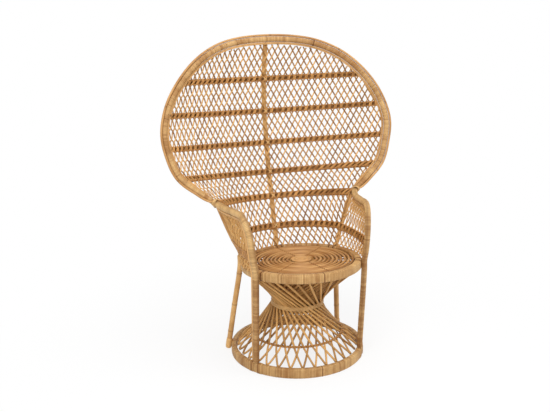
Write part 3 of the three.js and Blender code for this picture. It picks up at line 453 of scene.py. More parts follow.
def sweep(skin, point, out, normal, section, tone=0.5, seam=0.0, loop=False):
    """Sweeps a section, given as offsets along out and normal, through a row of points."""
    section = np.broadcast_to(section, (len(point),) + section.shape[-2:])
    rings = point[:, None] + section[..., :1] * out[:, None] + section[..., 1:] * normal[:, None]
    steps = np.linalg.norm(np.diff(point, axis=0), axis=1)
    along = np.concatenate([[0], np.cumsum(steps)])
    grain = np.concatenate([np.broadcast_to(along[:, None, None], rings.shape[:2] + (1,)), section], -1)
    tone, seam = (value[:, None] if np.ndim(value) == 1 else value for value in (tone, seam))
    skin.add(rings, grain + rng.uniform(0, GRAIN_SHIFT, 3), tone, seam, loop)


def circle(sides, width=1.0, depth=1.0):
    return bearing((np.arange(sides) + 0.5) / sides * TURN) * (width / 2, depth / 2)


def tube(skin, points, diameter, facing, sides=6, tone=0.5, seam=0.0, loop=False, flat=1.0):
    """A strand through a row of points. facing keeps its section upright and may be one direction."""
    if loop:
        along = np.roll(points, -1, axis=0) - np.roll(points, 1, axis=0)
    else:
        along = np.gradient(points, axis=0)
    out = unit(np.cross(along, np.broadcast_to(facing, points.shape)))
    normal = unit(np.cross(out, along))
    size = np.broadcast_to(diameter, len(points))[:, None, None]
    sweep(skin, points, out, normal, circle(sides, 1.0, flat)[None] * size, tone, seam, loop)


POLE_STEP = 5.0
POLE_END_LENGTH = 5.0
POLE_SIDES = 14
NODE_SWELL = 1.5
NODE_SEAM = 0.55


def pole(skin, points, diameter, facing, tone, node_gap=210):
    """A bare pole with swollen nodes at uneven gaps and rounded ends."""
    curve = Curve(points)
    share, far = curve.even(0, 1, POLE_STEP)
    size = np.full(len(far), float(diameter))
    seam = np.zeros(len(far))
    place = rng.uniform(0.3, 0.9) * node_gap
    while place < far[-1] - 20:
        size += NODE_SWELL * bump(far, place, 5.5)
        seam = np.maximum(seam, bump(far, place + 2, 2.6))
        place += node_gap * rng.uniform(0.75, 1.25)
    for end in (0, -1):
        short = 1 - np.clip(np.abs(far - far[end]) / POLE_END_LENGTH, 0, 1)
        size *= np.sqrt(np.clip(1 - short**2 * 0.6, 0.2, 1))
    tones = tone + 0.1 * np.sin(far / 37.0 + rng.uniform(0, 6)) + 0.06 * np.sin(far / 11.0)
    tube(skin, curve.point(share), size, facing, POLE_SIDES, tones, seam * NODE_SEAM)


def rounded_section(width, thickness, corner, start=1, per_corner=4):
    """Corner centres and outward directions round a section with rounded corners, and their radius."""
    quarters = np.repeat(np.arange(4), per_corner)
    angle = (quarters + np.tile(np.linspace(0, 1, per_corner), 4)) * math.pi / 2
    reach = (width / 2 - corner, thickness / 2 - corner)
    centres = np.sign(bearing((quarters + 0.5) * math.pi / 2)) * reach
    shift = -start * per_corner
    return np.roll(centres, shift, axis=0), np.roll(bearing(angle), shift, axis=0), corner


def peel_wraps(length, pitch, spread):
    """Distances along a wrapped piece, how deep each lies in a groove, and each wrap's tone."""
    wraps = max(int(round(length / pitch)), 1)
    tones = []
    drift = 0.5
    for _ in range(wraps):
        drift += 0.16 * (0.5 - drift) + rng.normal(0, 0.06 * spread)
        tone = float(np.clip(drift + rng.normal(0, 0.09 * spread), 0.08, 0.94))
        stained = rng.random() < 0.035
        tones.append(tone * 0.55 if stained else tone)
    places = (np.arange(wraps)[:, None] + PEEL_PROFILE[:, 0]) * (length / wraps)
    return places.ravel(), np.tile(PEEL_PROFILE[:, 1], wraps), np.repeat(tones, len(PEEL_PROFILE))


def wrapped(
    skin, place, length, section, pitch, lift,
    groove=PEEL_GROOVE, tilt=0.05, loop=False, flank_shade=0.0, spread=1.0, draw=np.zeros_like,
):
    """A core wrapped with peel. place gives points, out and normal for distances along it.

    lift makes the peel lighter or darker along the length, the flank shade paints shade on the sides that
    lie against other poles, spread varies the wraps' tones, and draw gives how far the surface is drawn in
    along the length.
    """
    far, grooves, tones = peel_wraps(length, pitch, spread)
    tones = tones + lift(far)
    if not loop:
        far, grooves, tones = np.append(far, length), np.append(grooves, 1.0), np.append(tones, tones[-1])
    point, out, normal = place(far)
    along = unit(np.cross(normal, out))
    centres, facing, corner = section
    flat = centres[None] + facing[None] * (corner - groove * grooves - draw(far))[:, None, None]
    rings = point[:, None] + flat[..., :1] * out[:, None] + flat[..., 1:] * normal[:, None]
    rings = rings + along[:, None] * (tilt * flat[..., :1] + 0.5 * tilt * flat[..., 1:])
    grain = np.concatenate([np.broadcast_to(far[:, None, None], rings.shape[:2] + (1,)), flat], -1)
    # Painted shade: darker deep in the grooves between the wraps and on the flanks that lie against other
    # poles.
    beside = np.clip(np.abs(flat[..., 0]) / np.abs(flat[..., 0]).max() * 5 - 4, 0, 1)
    seam = np.maximum((grooves**2)[:, None], flank_shade * beside)
    skin.add(rings, grain[..., [1, 0, 2]], tones[:, None], seam, loop)


def peel_turn(skin, place, far, section, width, tone=PEEL_END_TONE, seam=PEEL_END_SEAM):
    """One turn of peel laid over a wrapped piece at a distance along it."""
    point, out, normal = place(far)
    centres, facing, corner = section
    flat = centres + facing * (corner + 0.2)
    points = point + flat[:, :1] * out + flat[:, 1:] * normal
    outward = facing[:, :1] * out + facing[:, 1:] * normal
    tube(skin, points, width, outward, 6, tone, seam, loop=True, flat=0.4)


# Materials
class Shading:
    """The nodes of a material or of the world."""

    def __init__(self, owner):
        owner.use_nodes = True
        self.nodes, self.links = owner.node_tree.nodes, owner.node_tree.links

    def feed(self, node, sockets):
        """Gives a node's sockets their values, or the outputs that feed them."""
        for title, value in sockets.items():
            if isinstance(value, bpy.types.NodeSocket):
                self.links.new(value, node.inputs[title])
            else:
                node.inputs[title].default_value = value
        return node.outputs

    def add(self, kind, sockets):
        return self.feed(self.nodes.new("ShaderNode" + kind), sockets)

    def maths(self, operation, first, second):
        node = self.nodes.new("ShaderNodeMath")
        node.operation = operation
        return self.feed(node, {0: first, 1: second})[0]

    def attribute(self, title):
        node = self.nodes.new("ShaderNodeAttribute")
        node.attribute_name = title
        return node.outputs


def srgb(*colour):
    """A colour from display values of 0 to 255, none of them nearly black."""
    return (*(((value / 255 + 0.055) / 1.055) ** 2.4 for value in colour), 1.0)


def rattan(name, dark, light, mark_and_shade_colour, streak, roughness, relief):
    """Rattan with fibres along each strand, a tone for each strand or wrap, and darker marks and painted
    shade.
    """
    material = bpy.data.materials.new(name)
    shading = Shading(material)
    shader = shading.nodes["Principled BSDF"]
    grain = shading.attribute("grain")["Vector"]
    tone = shading.attribute("tone")["Fac"]
    seam = shading.attribute("seam")["Fac"]

    def noise(scale, detail):
        moved = shading.add("Mapping", {"Vector": grain, "Scale": scale})["Vector"]
        return shading.add("TexNoise", {"Vector": moved, "Scale": 1.0, "Detail": detail})["Fac"]

    def swing(value, size):
        return shading.maths("MULTIPLY", shading.maths("SUBTRACT", value, 0.5), size)

    fibres = noise((0.018, 1.1, 1.1), 3.0)
    patches = noise((0.012, 0.05, 0.05), 2.0)
    streaked = shading.maths("ADD", tone, swing(fibres, streak))
    ramp = shading.nodes.new("ShaderNodeValToRGB")
    for stop, place, colour in zip(ramp.color_ramp.elements, (0.12, 0.88), (dark, light)):
        stop.position = place
        stop.color = srgb(*colour)
    shade = shading.feed(ramp, {"Fac": shading.maths("ADD", streaked, swing(patches, 0.5))})["Color"]
    mix = shading.nodes.new("ShaderNodeMix")
    mix.data_type = "RGBA"
    colour = shading.feed(mix, {"Factor": seam, "A": shade, "B": srgb(*mark_and_shade_colour)})["Result"]
    rough = shading.maths("ADD", shading.maths("MULTIPLY", fibres, 0.22), roughness - 0.11)
    normal = shading.add("Bump", {"Strength": relief, "Distance": 0.0006, "Height": fibres})["Normal"]
    shading.feed(shader, {"Base Color": colour, "Roughness": rough, "Normal": normal})
    shading.feed(shader, {"Specular IOR Level": 0.28, "Coat Weight": 0.04, "Coat Roughness": 0.35})
    return material


# Dark, light and mark colours, the mark colour also used for painted shade, then the strength of streaks,
# the roughness and the relief
LOOKS = {
    "wrapped_rattan": ((164, 117, 66), (224, 184, 124), (108, 66, 30), 0.6, 0.5, 0.5),
    "round_rattan": ((158, 106, 54), (222, 174, 112), (92, 54, 22), 0.5, 0.46, 0.4),
    "lattice_strand": ((142, 96, 44), (232, 181, 111), (92, 56, 22), 0.5, 0.5, 0.4),
    "dark_twine": ((122, 72, 28), (214, 158, 92), (80, 46, 18), 0.4, 0.55, 0.5),
    "bare_pole": ((168, 114, 56), (228, 182, 118), (104, 62, 26), 0.6, 0.42, 0.35),
}
MATERIALS = {slot: rattan(slot, *look) for slot, look in LOOKS.items()}


def linked(name, data):
    item = bpy.data.objects.new(name, data)
    bpy.context.scene.collection.objects.link(item)
    return item


def make_piece(skin):
    """Turns a skin into one object that rides on the chair."""
    points = np.concatenate(skin.points) * MM + (0, AXIS_Y, 0)
    points[:, 2] = np.maximum(points[:, 2], 0)
    quads = np.concatenate(skin.quads).tolist()
    mesh = bpy.data.meshes.new(skin.name)
    mesh.from_pydata(points, [], quads + [cap.tolist() for cap in skin.caps])
    mesh.polygons.foreach_set("use_smooth", np.arange(len(mesh.polygons)) < len(quads))
    for title, kind, key, values in (
        ("tone", "FLOAT", "value", skin.tones),
        ("seam", "FLOAT", "value", skin.seams),
        ("grain", "FLOAT_VECTOR", "vector", skin.grains),
    ):
        layer = mesh.attributes.new(title, kind, "POINT")
        layer.data.foreach_set(key, np.concatenate(values).astype(np.float32).ravel())
    mesh.materials.append(MATERIALS[skin.slot])
    piece = linked(skin.name, mesh)
    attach(piece, "root")
    if skin.nodes:
        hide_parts(*skin.nodes)


# Hoops and rings
def ring_place(radius, height, move, length):
    """Frames round a level ring, for distances along it, starting at the rear."""

    def place(far):
        out = round_axis(1.0, np.asarray(far) / length * TURN, 0.0)
        centre = move(UP * height)
        up = move(UP * (height + 1.0)) - centre
        point = move(out * radius + UP * height)
        return point, unit(move(out + UP * height) - centre), np.broadcast_to(up, out.shape)

    return place


HOOPS = {"base_hoop": (BASE_HOOP, unmoved, 1), "seat_hoop": (SEAT_HOOP, seat_place, -1)}


def hoop_frame(node):
    """Frames round the middle of a hoop, the radius of that middle, and the hoop's section."""
    hoop, move, upward = HOOPS[node]
    radius = hoop["radius"] - hoop["thickness"] / 2
    place = ring_place(radius, upward * hoop["height"] / 2, move, TURN * radius)
    return place, radius, rounded_section(hoop["thickness"], hoop["height"], HOOP_CORNER, 2, 5)


def build_hoops():
    # The seat hoop is darker towards the rear: partly painted shade, partly the front being more bleached.
    for node, darker in (("base_hoop", 0.0), ("seat_hoop", 0.35)):
        skin = skin_of(node, "wrapped")
        place, radius, section = hoop_frame(node)
        length = TURN * radius

        def lift(far):
            at_the_rear = np.clip(np.cos(far / length * TURN), 0, 1)
            return 0.08 * np.sin(far / 83) - 0.07 - darker * at_the_rear

        wrapped(skin, place, length, section, HOOP_PEEL_PITCH, lift, HOOP_PEEL_GROOVE, tilt=0.04, loop=True)
        for degrees, width in HOOP_PEEL_ENDS:
            peel_turn(skin, place, degrees / 360 * length, section, width)


def build_rings():
    skin = skin_of("pedestal_waist_ring", "bound")
    length = TURN * WAIST_RING_RADIUS
    far = np.linspace(0, length, 120, endpoint=False)
    for height in WAIST_CANE_HEIGHTS:
        point, out, up = ring_place(WAIST_RING_RADIUS, height, waist_place, length)(far)
        tones = 0.62 + 0.1 * np.sin(far / 60 + height) + 0.06 * np.sin(far / 17 + height)
        section = circle(12, WAIST_RING_THICKNESS, WAIST_CANE_TALL)
        sweep(skin, point, out, up, section, tones, loop=True)
    skin = skin_of("pedestal_mid_ring", "twined")
    angle = full_turn(MID_RING_TURNS * 12)
    for start in (0, math.pi):
        twist = angle * MID_RING_TURNS + start
        radius = MID_RING_RADIUS + MID_RING_SWING * np.cos(twist)
        points = round_axis(radius, angle, MID_RING_HEIGHT + MID_RING_SWING * np.sin(twist))
        tube(skin, points, MID_RING_CANE, UP, 6, 0.5 + 0.16 * np.sin(angle * 9 + start), loop=True)


# Pedestal strands: an outer and an inner family cross from the mid ring to the seat hoop
def build_pedestal():
    angles = np.arange(PEDESTAL_STRANDS) / PEDESTAL_STRANDS * TURN
    line = np.linspace(0, 1, 6)

    def ring(radius, height, move):
        return lambda angle, inset: move(round_axis(radius - inset, angle, height))

    def straight(start, end):
        return blend(start, end, line[:, None])

    seat = ring(SEAT_HOOP["radius"] - SEAT_HOOP["thickness"] / 2, 3 - SEAT_HOOP["height"], seat_place)
    waist = ring(WAIST_RING_RADIUS + 1, 0, waist_place)
    middle = ring(MID_RING_RADIUS, MID_RING_HEIGHT, unmoved)
    upper, lower = (skin_of(f"pedestal_{part}_twist", "strands") for part in ("upper", "lower"))
    for angle in angles:
        sway = TWIST_SWAY * math.sin(SWAY_ANGLE - angle)
        bend = waist(angle + LOWER_TWIST + sway, OUTER_WAIST_INSET)
        head = seat(angle + LOWER_TWIST + UPPER_TWIST + sway / 2, 0)
        tone = np.clip(rng.normal(0.56, 0.13), 0.15, 0.95)
        for skin, start, end in ((lower, middle(angle, 0), bend), (upper, bend, head)):
            tube(skin, straight(start, end), PEDESTAL_STRAND_DIAMETER, (0.13, 0.07, 1), 8, tone)
    # The inner strands are wide near the waist and dark, with tone means of 0.3 and 0.27: painted shade
    # inside the pedestal.
    width = blend(*INNER_STRAND_WIDTHS, (1 - line) ** 2)
    inner_lower = (lower, PEDESTAL_STRANDS, -INNER_LOWER_TWIST, middle, 8, 0.3)
    inner_upper = (upper, INNER_UPPER_STRANDS, INNER_UPPER_TWIST, seat, 10.5, 0.27)
    for skin, count, twist, far_ring, inset, mean in (inner_lower, inner_upper):
        for index in range(count):
            angle = (index + 0.5) / count * TURN
            strand = straight(waist(angle + twist, INNER_WAIST_INSET), far_ring(angle, inset))
            tone = np.clip(rng.normal(mean, 0.12), 0.06, 0.9)
            outward = strand * (1, 1, 0) + (0, WAIST_RING_FORWARD, 0)
            tube(skin, strand, width, outward, 8, tone, flat=0.6)


def build_skirt():
    """Two families of strands that cross between the base hoop and the mid ring."""
    skin = skin_of("pedestal_skirt", "strands")
    angles = np.arange(PEDESTAL_STRANDS) / PEDESTAL_STRANDS * TURN
    line = np.linspace(0, 1, 14)
    foot_radius = BASE_HOOP["radius"] - BASE_HOOP["thickness"] - 1.8 - SKIRT_STRAND_DIAMETER / 2
    foot_height = BASE_HOOP["height"] - HOOP_CORNER
    for lean, shift in ((1, 0), (-1, 0.5)):
        for angle in angles + shift * angles[1]:
            turn = angle - lean * SKIRT_TWIST * (1 - line)
            lift = lean * SKIRT_LIFT * np.minimum(np.sin(math.pi * line) * 2, 1)
            radius = blend(foot_radius, MID_RING_RADIUS, line) + 0.6 * lift
            height = blend(foot_height, MID_RING_HEIGHT - 3, line) + 0.8 * lift
            tone = np.clip(rng.normal(0.6, 0.14), 0.25, 0.95)
            points = round_axis(radius, turn, height)
            tube(skin, points, SKIRT_STRAND_DIAMETER, (0.1, 0.05, 1), 8, tone)


# Seat mat
MAT_RADIUS = SEAT_HOOP["radius"] - SEAT_HOOP["thickness"]
COIL_OUTER_RADIUS = MAT_RADIUS - COIL_DIAMETER / 2 - 0.5
COIL_HEIGHT = -2 - COIL_DIAMETER / 2
SPOKE_HEIGHT = COIL_HEIGHT - COIL_DIAMETER / 2 - 5


def on_mat(radius, angle, height):
    """Points of the seat, at angles from the chair's right and heights from the seat's plane."""
    return seat_place(stacked(radius * np.cos(angle), radius * np.sin(angle), height))


def build_mat():
    skin = skin_of("seat_coil", "cane")
    turn = np.linspace(0, COIL_TURNS * TURN, COIL_TURNS * 84)
    spiral = on_mat(blend(COIL_INNER_RADIUS, COIL_OUTER_RADIUS, turn / turn[-1]), turn, COIL_HEIGHT)
    tones = 0.38 + 0.14 * np.sin(turn * 1.7) + 0.08 * np.sin(turn * 5.3)
    # Painted shadow on the outer side of the last turn of the coil, in the gap against the seat hoop.
    shade_by_the_hoop = 0.85 * np.clip((turn / TURN - COIL_TURNS + 1.1) * 8, 0, 1)
    outer_side = np.clip(circle(9)[:, 0] * 4 - 0.4, 0, 1)
    tube(skin, spiral, COIL_DIAMETER, UP, 9, tones, shade_by_the_hoop[:, None] * outer_side)

    skin = skin_of("seat_centre_button", "cane")
    last = (COIL_INNER_RADIUS - COIL_DIAMETER / 2) / BUTTON_CANE - 0.4
    turn = np.linspace(0.5, last * TURN, int(last * 60))
    radius = turn / TURN * BUTTON_CANE
    spiral = on_mat(radius, turn, COIL_HEIGHT + 2.2 - 0.0009 * radius**2)
    tube(skin, spiral, BUTTON_CANE + 0.4, UP, 8, 0.62 + 0.1 * np.sin(turn * 1.3))


def build_spokes():
    """Canes under the coil, and the stitches that tie the coil to them."""
    skin, stitches = skin_of("seat_spokes", "cane"), Skin("seat_stitches", "dark_twine")
    line = np.linspace(16, MAT_RADIUS + 3, 30)
    for spoke in range(SPOKES):
        points = on_mat(line, (spoke + 0.5) / SPOKES * TURN, SPOKE_HEIGHT)
        tube(skin, points, SPOKE_DIAMETER, UP, 10, 0.4, flat=0.86)
    around = full_turn(18)
    wide = (COIL_DIAMETER / 2 + 0.9) * np.cos(around)
    tall = np.where(np.sin(around) > 0, 6.1, 15.5) * np.sin(around)
    for angle in STITCH_ANGLES:
        aside = on_mat(1.0, angle + math.pi / 2, 0.0) - on_mat(0.0, 0.0, 0.0)
        turns = (angle / TURN + np.arange(COIL_TURNS)) / COIL_TURNS
        for radius in blend(COIL_INNER_RADIUS, COIL_OUTER_RADIUS, turns):
            loop = on_mat(radius + wide, angle, COIL_HEIGHT + tall)
            tube(stitches, loop, STITCH_WIDTH, aside, 6, 0.22, loop=True, flat=0.5)
    # The ribs stand for canes under the coil, and their low tone is painted shade under the seat.
    ribs = SPOKES * 4
    line = np.linspace(40, MAT_RADIUS + 2, 24)
    for rib in range(ribs):
        over_a_spoke = rib % 4 == 2
        if not over_a_spoke:
            points = on_mat(line, rib / ribs * TURN, SPOKE_HEIGHT + 1.2)
            tube(skin, points, RIB_DIAMETER, UP, 8, 0.28)
    for radius in HUB_RADII:
        tube(skin, on_mat(radius, full_turn(40), SPOKE_HEIGHT), HUB_CANE, UP, 8, 0.4, loop=True)


# Rim, arms and their beads
def rim_place(start, end, offset):
    """Frames along part of the rim, for distances from its start, and the length of that part."""
    share, far = rim.even(start, end, 2.0)

    def place(distance):
        point, out, normal = rim_frame(np.interp(distance, far, share))
        return point + out * offset, out, normal

    return place, far[-1]


def thin_canes(skin, start, end, offset, diameter, count, tone, against=0):
    """Thin round canes side by side along the rim, with painted shade where they lie against each other.

    against is 1 or -1 for a single cane that only has another on its outer or its inner side.
    """
    place, length = rim_place(start, end, offset)
    far = np.linspace(0, length, int(length / 6))
    point, out, normal = place(far)
    section = circle(12, diameter, diameter)
    # Painted shade on the sides where a cane lies against its neighbours; the knots are darker marks of the
    # cane.
    aside = section[:, 0] * against if against else np.abs(section[:, 0])
    beside = np.clip(aside / diameter * 8 - 3, 0, 1)
    for index in range(count):
        shift = (index - (count - 1) / 2) * diameter
        knots = np.zeros_like(far)
        for knot in np.arange(rng.uniform(60, 240), length, 330):
            knots = np.maximum(knots, bump(far, knot, 4))
        tones = tone + 0.1 * np.sin(far / 90 + rng.uniform(0, 6))
        tones = tones + 0.07 * np.sin(far / 23 + rng.uniform(0, 6))
        seam = np.maximum(knots[:, None] * 0.6, 0.85 * beside[None])
        sweep(skin, point + out * shift, out, normal, section, tones, seam)


def build_fan_rim():
    skin = skin_of("fan_rim_rail", "wrapped")
    start, end = 1 - NECK_SHARE, NECK_SHARE
    place, length = rim_place(start, end, 0)
    section = rounded_section(FAN_RAIL_WIDTH, FAN_RAIL_THICKNESS, FAN_RAIL_CORNER)
    swell = (ARM_RAIL_THICKNESS - FAN_RAIL_THICKNESS) / 2

    def lift(far):
        return 0.08 * np.sin(far / 131) - 0.1

    def draw(far):
        return -swell * np.clip(1 - np.minimum(far, length - far) / 90, 0, 1) ** 2

    wrapped(skin, place, length, section, PEEL_PITCH, lift, flank_shade=0.9, draw=draw)
    for share, width in FAN_PEEL_ENDS:
        peel_turn(skin, place, np.interp(share, [start, end], [0, length]), section, width)
    skin = skin_of("fan_rim_bead", "canes")
    thin_canes(skin, start, end, FAN_BEAD_OFFSET, RIM_CANE, 2, 0.7)
    skin = skin_of("fan_rim_outer_pole", "cane")
    thin_canes(skin, start, end, FAN_POLE_OFFSET, OUTER_POLE_DIAMETER, 1, 0.46, -1)


def bind_neck(side, neck, toward):
    """Turns of peel round the arm rail, the bead and the fan's outer pole where they meet."""
    skin = skin_of(f"neck_binding_{side}", "peel")
    reach = toward * NECK_BINDING_LENGTH / 2 / rim.even(0, 1, 5)[1][-1]
    low = ARM_INNER_OFFSET - 1
    high = FAN_POLE_OFFSET + OUTER_POLE_DIAMETER / 2 + 1
    place, length = rim_place(neck - reach, neck + reach, (low + high) / 2)
    around = full_turn(44)
    wide = (high - low) / 2 * boxy(np.cos(around), 0.8)
    deep = (ARM_RAIL_THICKNESS / 2 + 1.2) * boxy(np.sin(around), 0.8)
    for middle in (np.arange(BINDING_TURNS) + 0.5) * length / BINDING_TURNS:
        point, out, normal = place(middle + 7 * np.cos(around))
        points = point + out * wide[:, None] + normal * deep[:, None]
        tube(skin, points, BINDING_PEEL, points - point, 6, rng.uniform(0.5, 0.8), loop=True, flat=0.34)


def build_arm_rails():
    # Painted light and shade: the peel is lighter along the arm tops and darker down the posts, where less
    # light falls from above.
    def lift(far):
        return np.interp(far, [0, 300, 620], [0.32, 0.27, -0.2])

    for side, start, end in (("right", NECK_SHARE, 1.0), ("left", 1 - NECK_SHARE, 0.0)):
        skin = skin_of(f"arm_rail_{side}", "wrapped")
        place, length = rim_place(start, end, 0)
        section = rounded_section(ARM_RAIL_WIDTH, ARM_RAIL_THICKNESS, ARM_RAIL_CORNER)
        wrapped(skin, place, length, section, ARM_PEEL_PITCH, lift, flank_shade=0.6, spread=1.4)
        skin = skin_of(f"arm_bead_{side}", "cane")
        thin_canes(skin, start, end, ARM_BEAD_OFFSET, BEAD_DIAMETER, 1, 0.88, 1)
        bind_neck(side, start, 1 if side == "right" else -1)


# Bare poles
def post_angle(level):
    """The centre post is straight down to the second band and leans from there to its foot."""
    return np.interp(level, BAND_HEIGHTS[:2], [POST_FOOT_ANGLE / 2, 0])


def beside_hoop(angle, diameter, below):
    reach = SEAT_HOOP["radius"] + POLE_GAP + diameter / 2
    x, y = reach * math.sin(angle), reach * math.cos(angle) - SEAT_FORWARD
    return np.array([x, y, hoop_top(y) - below])


def build_post():
    skin = skin_of("back_centre_post", "pole")
    levels = np.linspace(BAND_HEIGHTS[0] - 13, edge_level[0] - 1, 24)
    depth = BAND_THICKNESS / 2 + BAND_GAP + POST_DIAMETER / 2
    upper, _ = off_surface(post_angle(levels), levels, depth)
    drops = (SEAT_HOOP["height"], HOOP_CORNER)
    lower = [beside_hoop(POST_FOOT_ANGLE, POST_DIAMETER, below) for below in drops]
    pole(skin, np.concatenate([lower, upper]), POST_DIAMETER + 1, (1, 0, 0), tone=0.78)


def build_legs_and_stiles():
    stile_levels = np.array([BAND_HEIGHTS[0], STILE_TOP_LEVEL])
    depth = BAND_THICKNESS / 2 + BAND_GAP + STILE_DIAMETER / 2
    stile, _ = off_surface(stile_angle(stile_levels), stile_levels, depth)
    facing = (0, 1, 0.2)
    for side, turn in SIDES.items():
        skin = skin_of(f"rear_leg_{side}", "pole")
        seat_angle, foot_angle = LEG_ANGLES[side]
        leg_top = beside_hoop(seat_angle, LEG_DIAMETER, -HOOP_CORNER)
        leg_seat = beside_hoop(seat_angle, LEG_DIAMETER, SEAT_HOOP["height"])
        foot = round_axis(LEG_FOOT_RADIUS, foot_angle, LEG_FOOT_HEIGHT)
        leg = np.stack([foot, blend(foot, leg_seat, 0.12), blend(foot, leg_seat, 0.5), leg_seat, leg_top])
        pole(skin, turn(leg), LEG_DIAMETER + 1, facing, tone=0.62, node_gap=150)
        share = np.linspace(0, 1, 14)
        knob = blend(foot, leg_seat, 0.12 * share[:, None])
        size = LEG_DIAMETER + 6.5 * np.sqrt(np.clip(1 - (2 * share - 1) ** 6, 0, 1)) - 1.5
        tube(skin, turn(knob), size, facing, POLE_SIDES, 0.86)
        skin = skin_of(f"back_stile_{side}", "pole")
        stile_foot = beside_hoop(STILE_FOOT_ANGLE, STILE_DIAMETER, 0)
        stile_foot[2] = leg_top[2] + 0.5
        head = stile[-1] + unit(stile[-1] - stile[0]) * STILE_TOP_REACH
        points = np.stack([stile_foot, stile[0], stile[1], head])
        pole(skin, turn(points), STILE_DIAMETER, facing, tone=0.46)


# Lattice and twined bands
def woven(skins, rows, place, inside, columns, pitch, pick, diameter, flat, means, edge_shade_strength=0.0):
    """Two crossing families of strands. rows are half diamonds up, and pick says which skin a row is in.

    The edge shade strength paints shade on the edges of each strand, where the strands lie against each
    other.
    """
    edge_shade = edge_shade_strength * np.abs(circle(6)[None, :, 0] * 2) ** 2
    for lean, mean in zip((1, -1), means):
        for column in range(-columns, columns + 1):
            across = column * pitch + lean * pitch / 2 * rows
            keep = inside(across, rows)
            depth = -lean * flat * diameter / 2 * np.cos(math.pi * rows) - WEAVE_FORWARD
            tone = np.clip(rng.normal(mean, 0.14), 0.06, 0.98)
            which = np.where(keep, pick(rows), -1)
            breaks = np.flatnonzero(np.diff(which)) + 1
            for run in np.split(np.arange(len(rows)), breaks):
                if len(run) < 3 or which[run[0]] < 0:
                    continue
                if run[-1] + 1 < len(rows) and keep[run[-1] + 1]:
                    run = np.append(run, run[-1] + 1)
                points, facing = place(across[run], rows[run], depth[run])
                tube(skins[which[run[0]]], points, diameter, facing, 6, tone, edge_shade, flat=flat)


def twined(skin, place, start, end, pitch):
    """A band: canes behind the crossings, a two-strand twine along both edges and slanted bindings."""
    across = np.linspace(start, end, max(int((end - start) / 3.0), 8))
    # Painted shade on the front of the canes behind the lattice, where they show through the cells.
    shade_in_the_cells = np.clip(-4 * circle(8)[None, :, 1], 0, 0.5)
    for above in BAND_CANE_HEIGHTS:
        points, facing = place(across, above, BAND_CANE_DEPTH)
        tones = 0.55 + 0.1 * np.sin(across / 13 + above)
        tube(skin, points, BAND_CANE_WIDTH, facing, 8, tones, shade_in_the_cells, flat=0.45)
    for above in BAND_TWINE_HEIGHTS:
        for start_turn in (0, math.pi):
            turn = TURN * across / pitch * 1.5 + start_turn + above
            height = above + BAND_TWINE_SWING * np.sin(turn)
            depth = BAND_TWINE_DEPTH - BAND_TWINE_SWING * np.cos(turn)
            points, facing = place(across, height, depth)
            tones = 0.5 + 0.22 * np.sin(across / 31 + above + start_turn)
            tube(skin, points, BAND_TWINE_DIAMETER, facing, 6, tones)
    around = full_turn(22)
    tall, deep = BAND_LOOP_SIZE
    height = tall * np.sin(around)
    depth = BAND_LOOP_DEPTH - deep * boxy(np.cos(around), 0.6)
    for centre in np.arange(math.ceil(start / pitch), end / pitch + ROUNDING) * pitch:
        tone = rng.normal(0.62, 0.12)
        for beside in BAND_LOOP_PAIR:
            slant = beside + BAND_LOOP_SLANT * np.sin(around)
            points, _ = place(np.clip(centre + slant, start, end), height, depth)
            middle, _ = place(np.clip(centre + beside, start, end), 0.0, BAND_LOOP_DEPTH)
            shade = np.clip(tone + rng.normal(0, 0.08), 0.2, 0.95)
            tube(skin, points, BAND_LOOP_WIDTH, points - middle, 6, shade, loop=True, flat=0.4)


def build_back():
    top_rows = LEVEL_HALF_ROWS[-1] + (edge_level[0] - BAND_HEIGHTS[-1]) / ARCH_HALF_DIAMOND
    knots = np.concatenate([LEVEL_HALF_ROWS, [top_rows]])
    heights = np.concatenate([[FOOT_HEIGHT], BAND_HEIGHTS, [edge_level[0]]])
    rows = np.arange(-ROW_STEP, top_rows + 0.3, ROW_STEP)

    def level_at(row):
        below = np.minimum(row, 0) * 12
        above = np.maximum(row - top_rows, 0) * ARCH_HALF_DIAMOND
        return np.interp(row, knots, heights) + below + above

    def inside(across, row):
        level = level_at(row)
        reach = np.where(row < LEVEL_HALF_ROWS[2], 10, 3)
        return np.abs(across) <= lattice_edge(level) * level_value("radius", level) + reach

    def place(across, row, depth):
        level = level_at(row)
        return off_surface(across / level_value("radius", level), level, depth)

    def pick(row):
        return np.clip(np.searchsorted(knots, row, side="right") - 1, 0, len(LEVEL_HALF_ROWS) - 1)

    numbers = range(1, len(LEVEL_HALF_ROWS) + 1)
    skins = [skin_of(f"back_lattice_{number}", "strands") for number in numbers]
    columns = int(700 / DIAMOND_WIDTH) + int(top_rows / 2) + 2
    strand = (STRAND_DIAMETER, STRAND_FLAT, (0.6, 0.28))
    woven(skins, rows, place, inside, columns, DIAMOND_WIDTH, pick, *strand)
    for number, height in enumerate(BAND_HEIGHTS, 1):
        skin = skin_of(f"back_band_{number}", "twined")
        radius = float(level_value("radius", height))
        end = float(lattice_edge(height)) * radius + 2

        def band_place(across, above, depth):
            return off_surface(across / radius, height + above, depth)

        twined(skin, band_place, -end, end, DIAMOND_WIDTH)


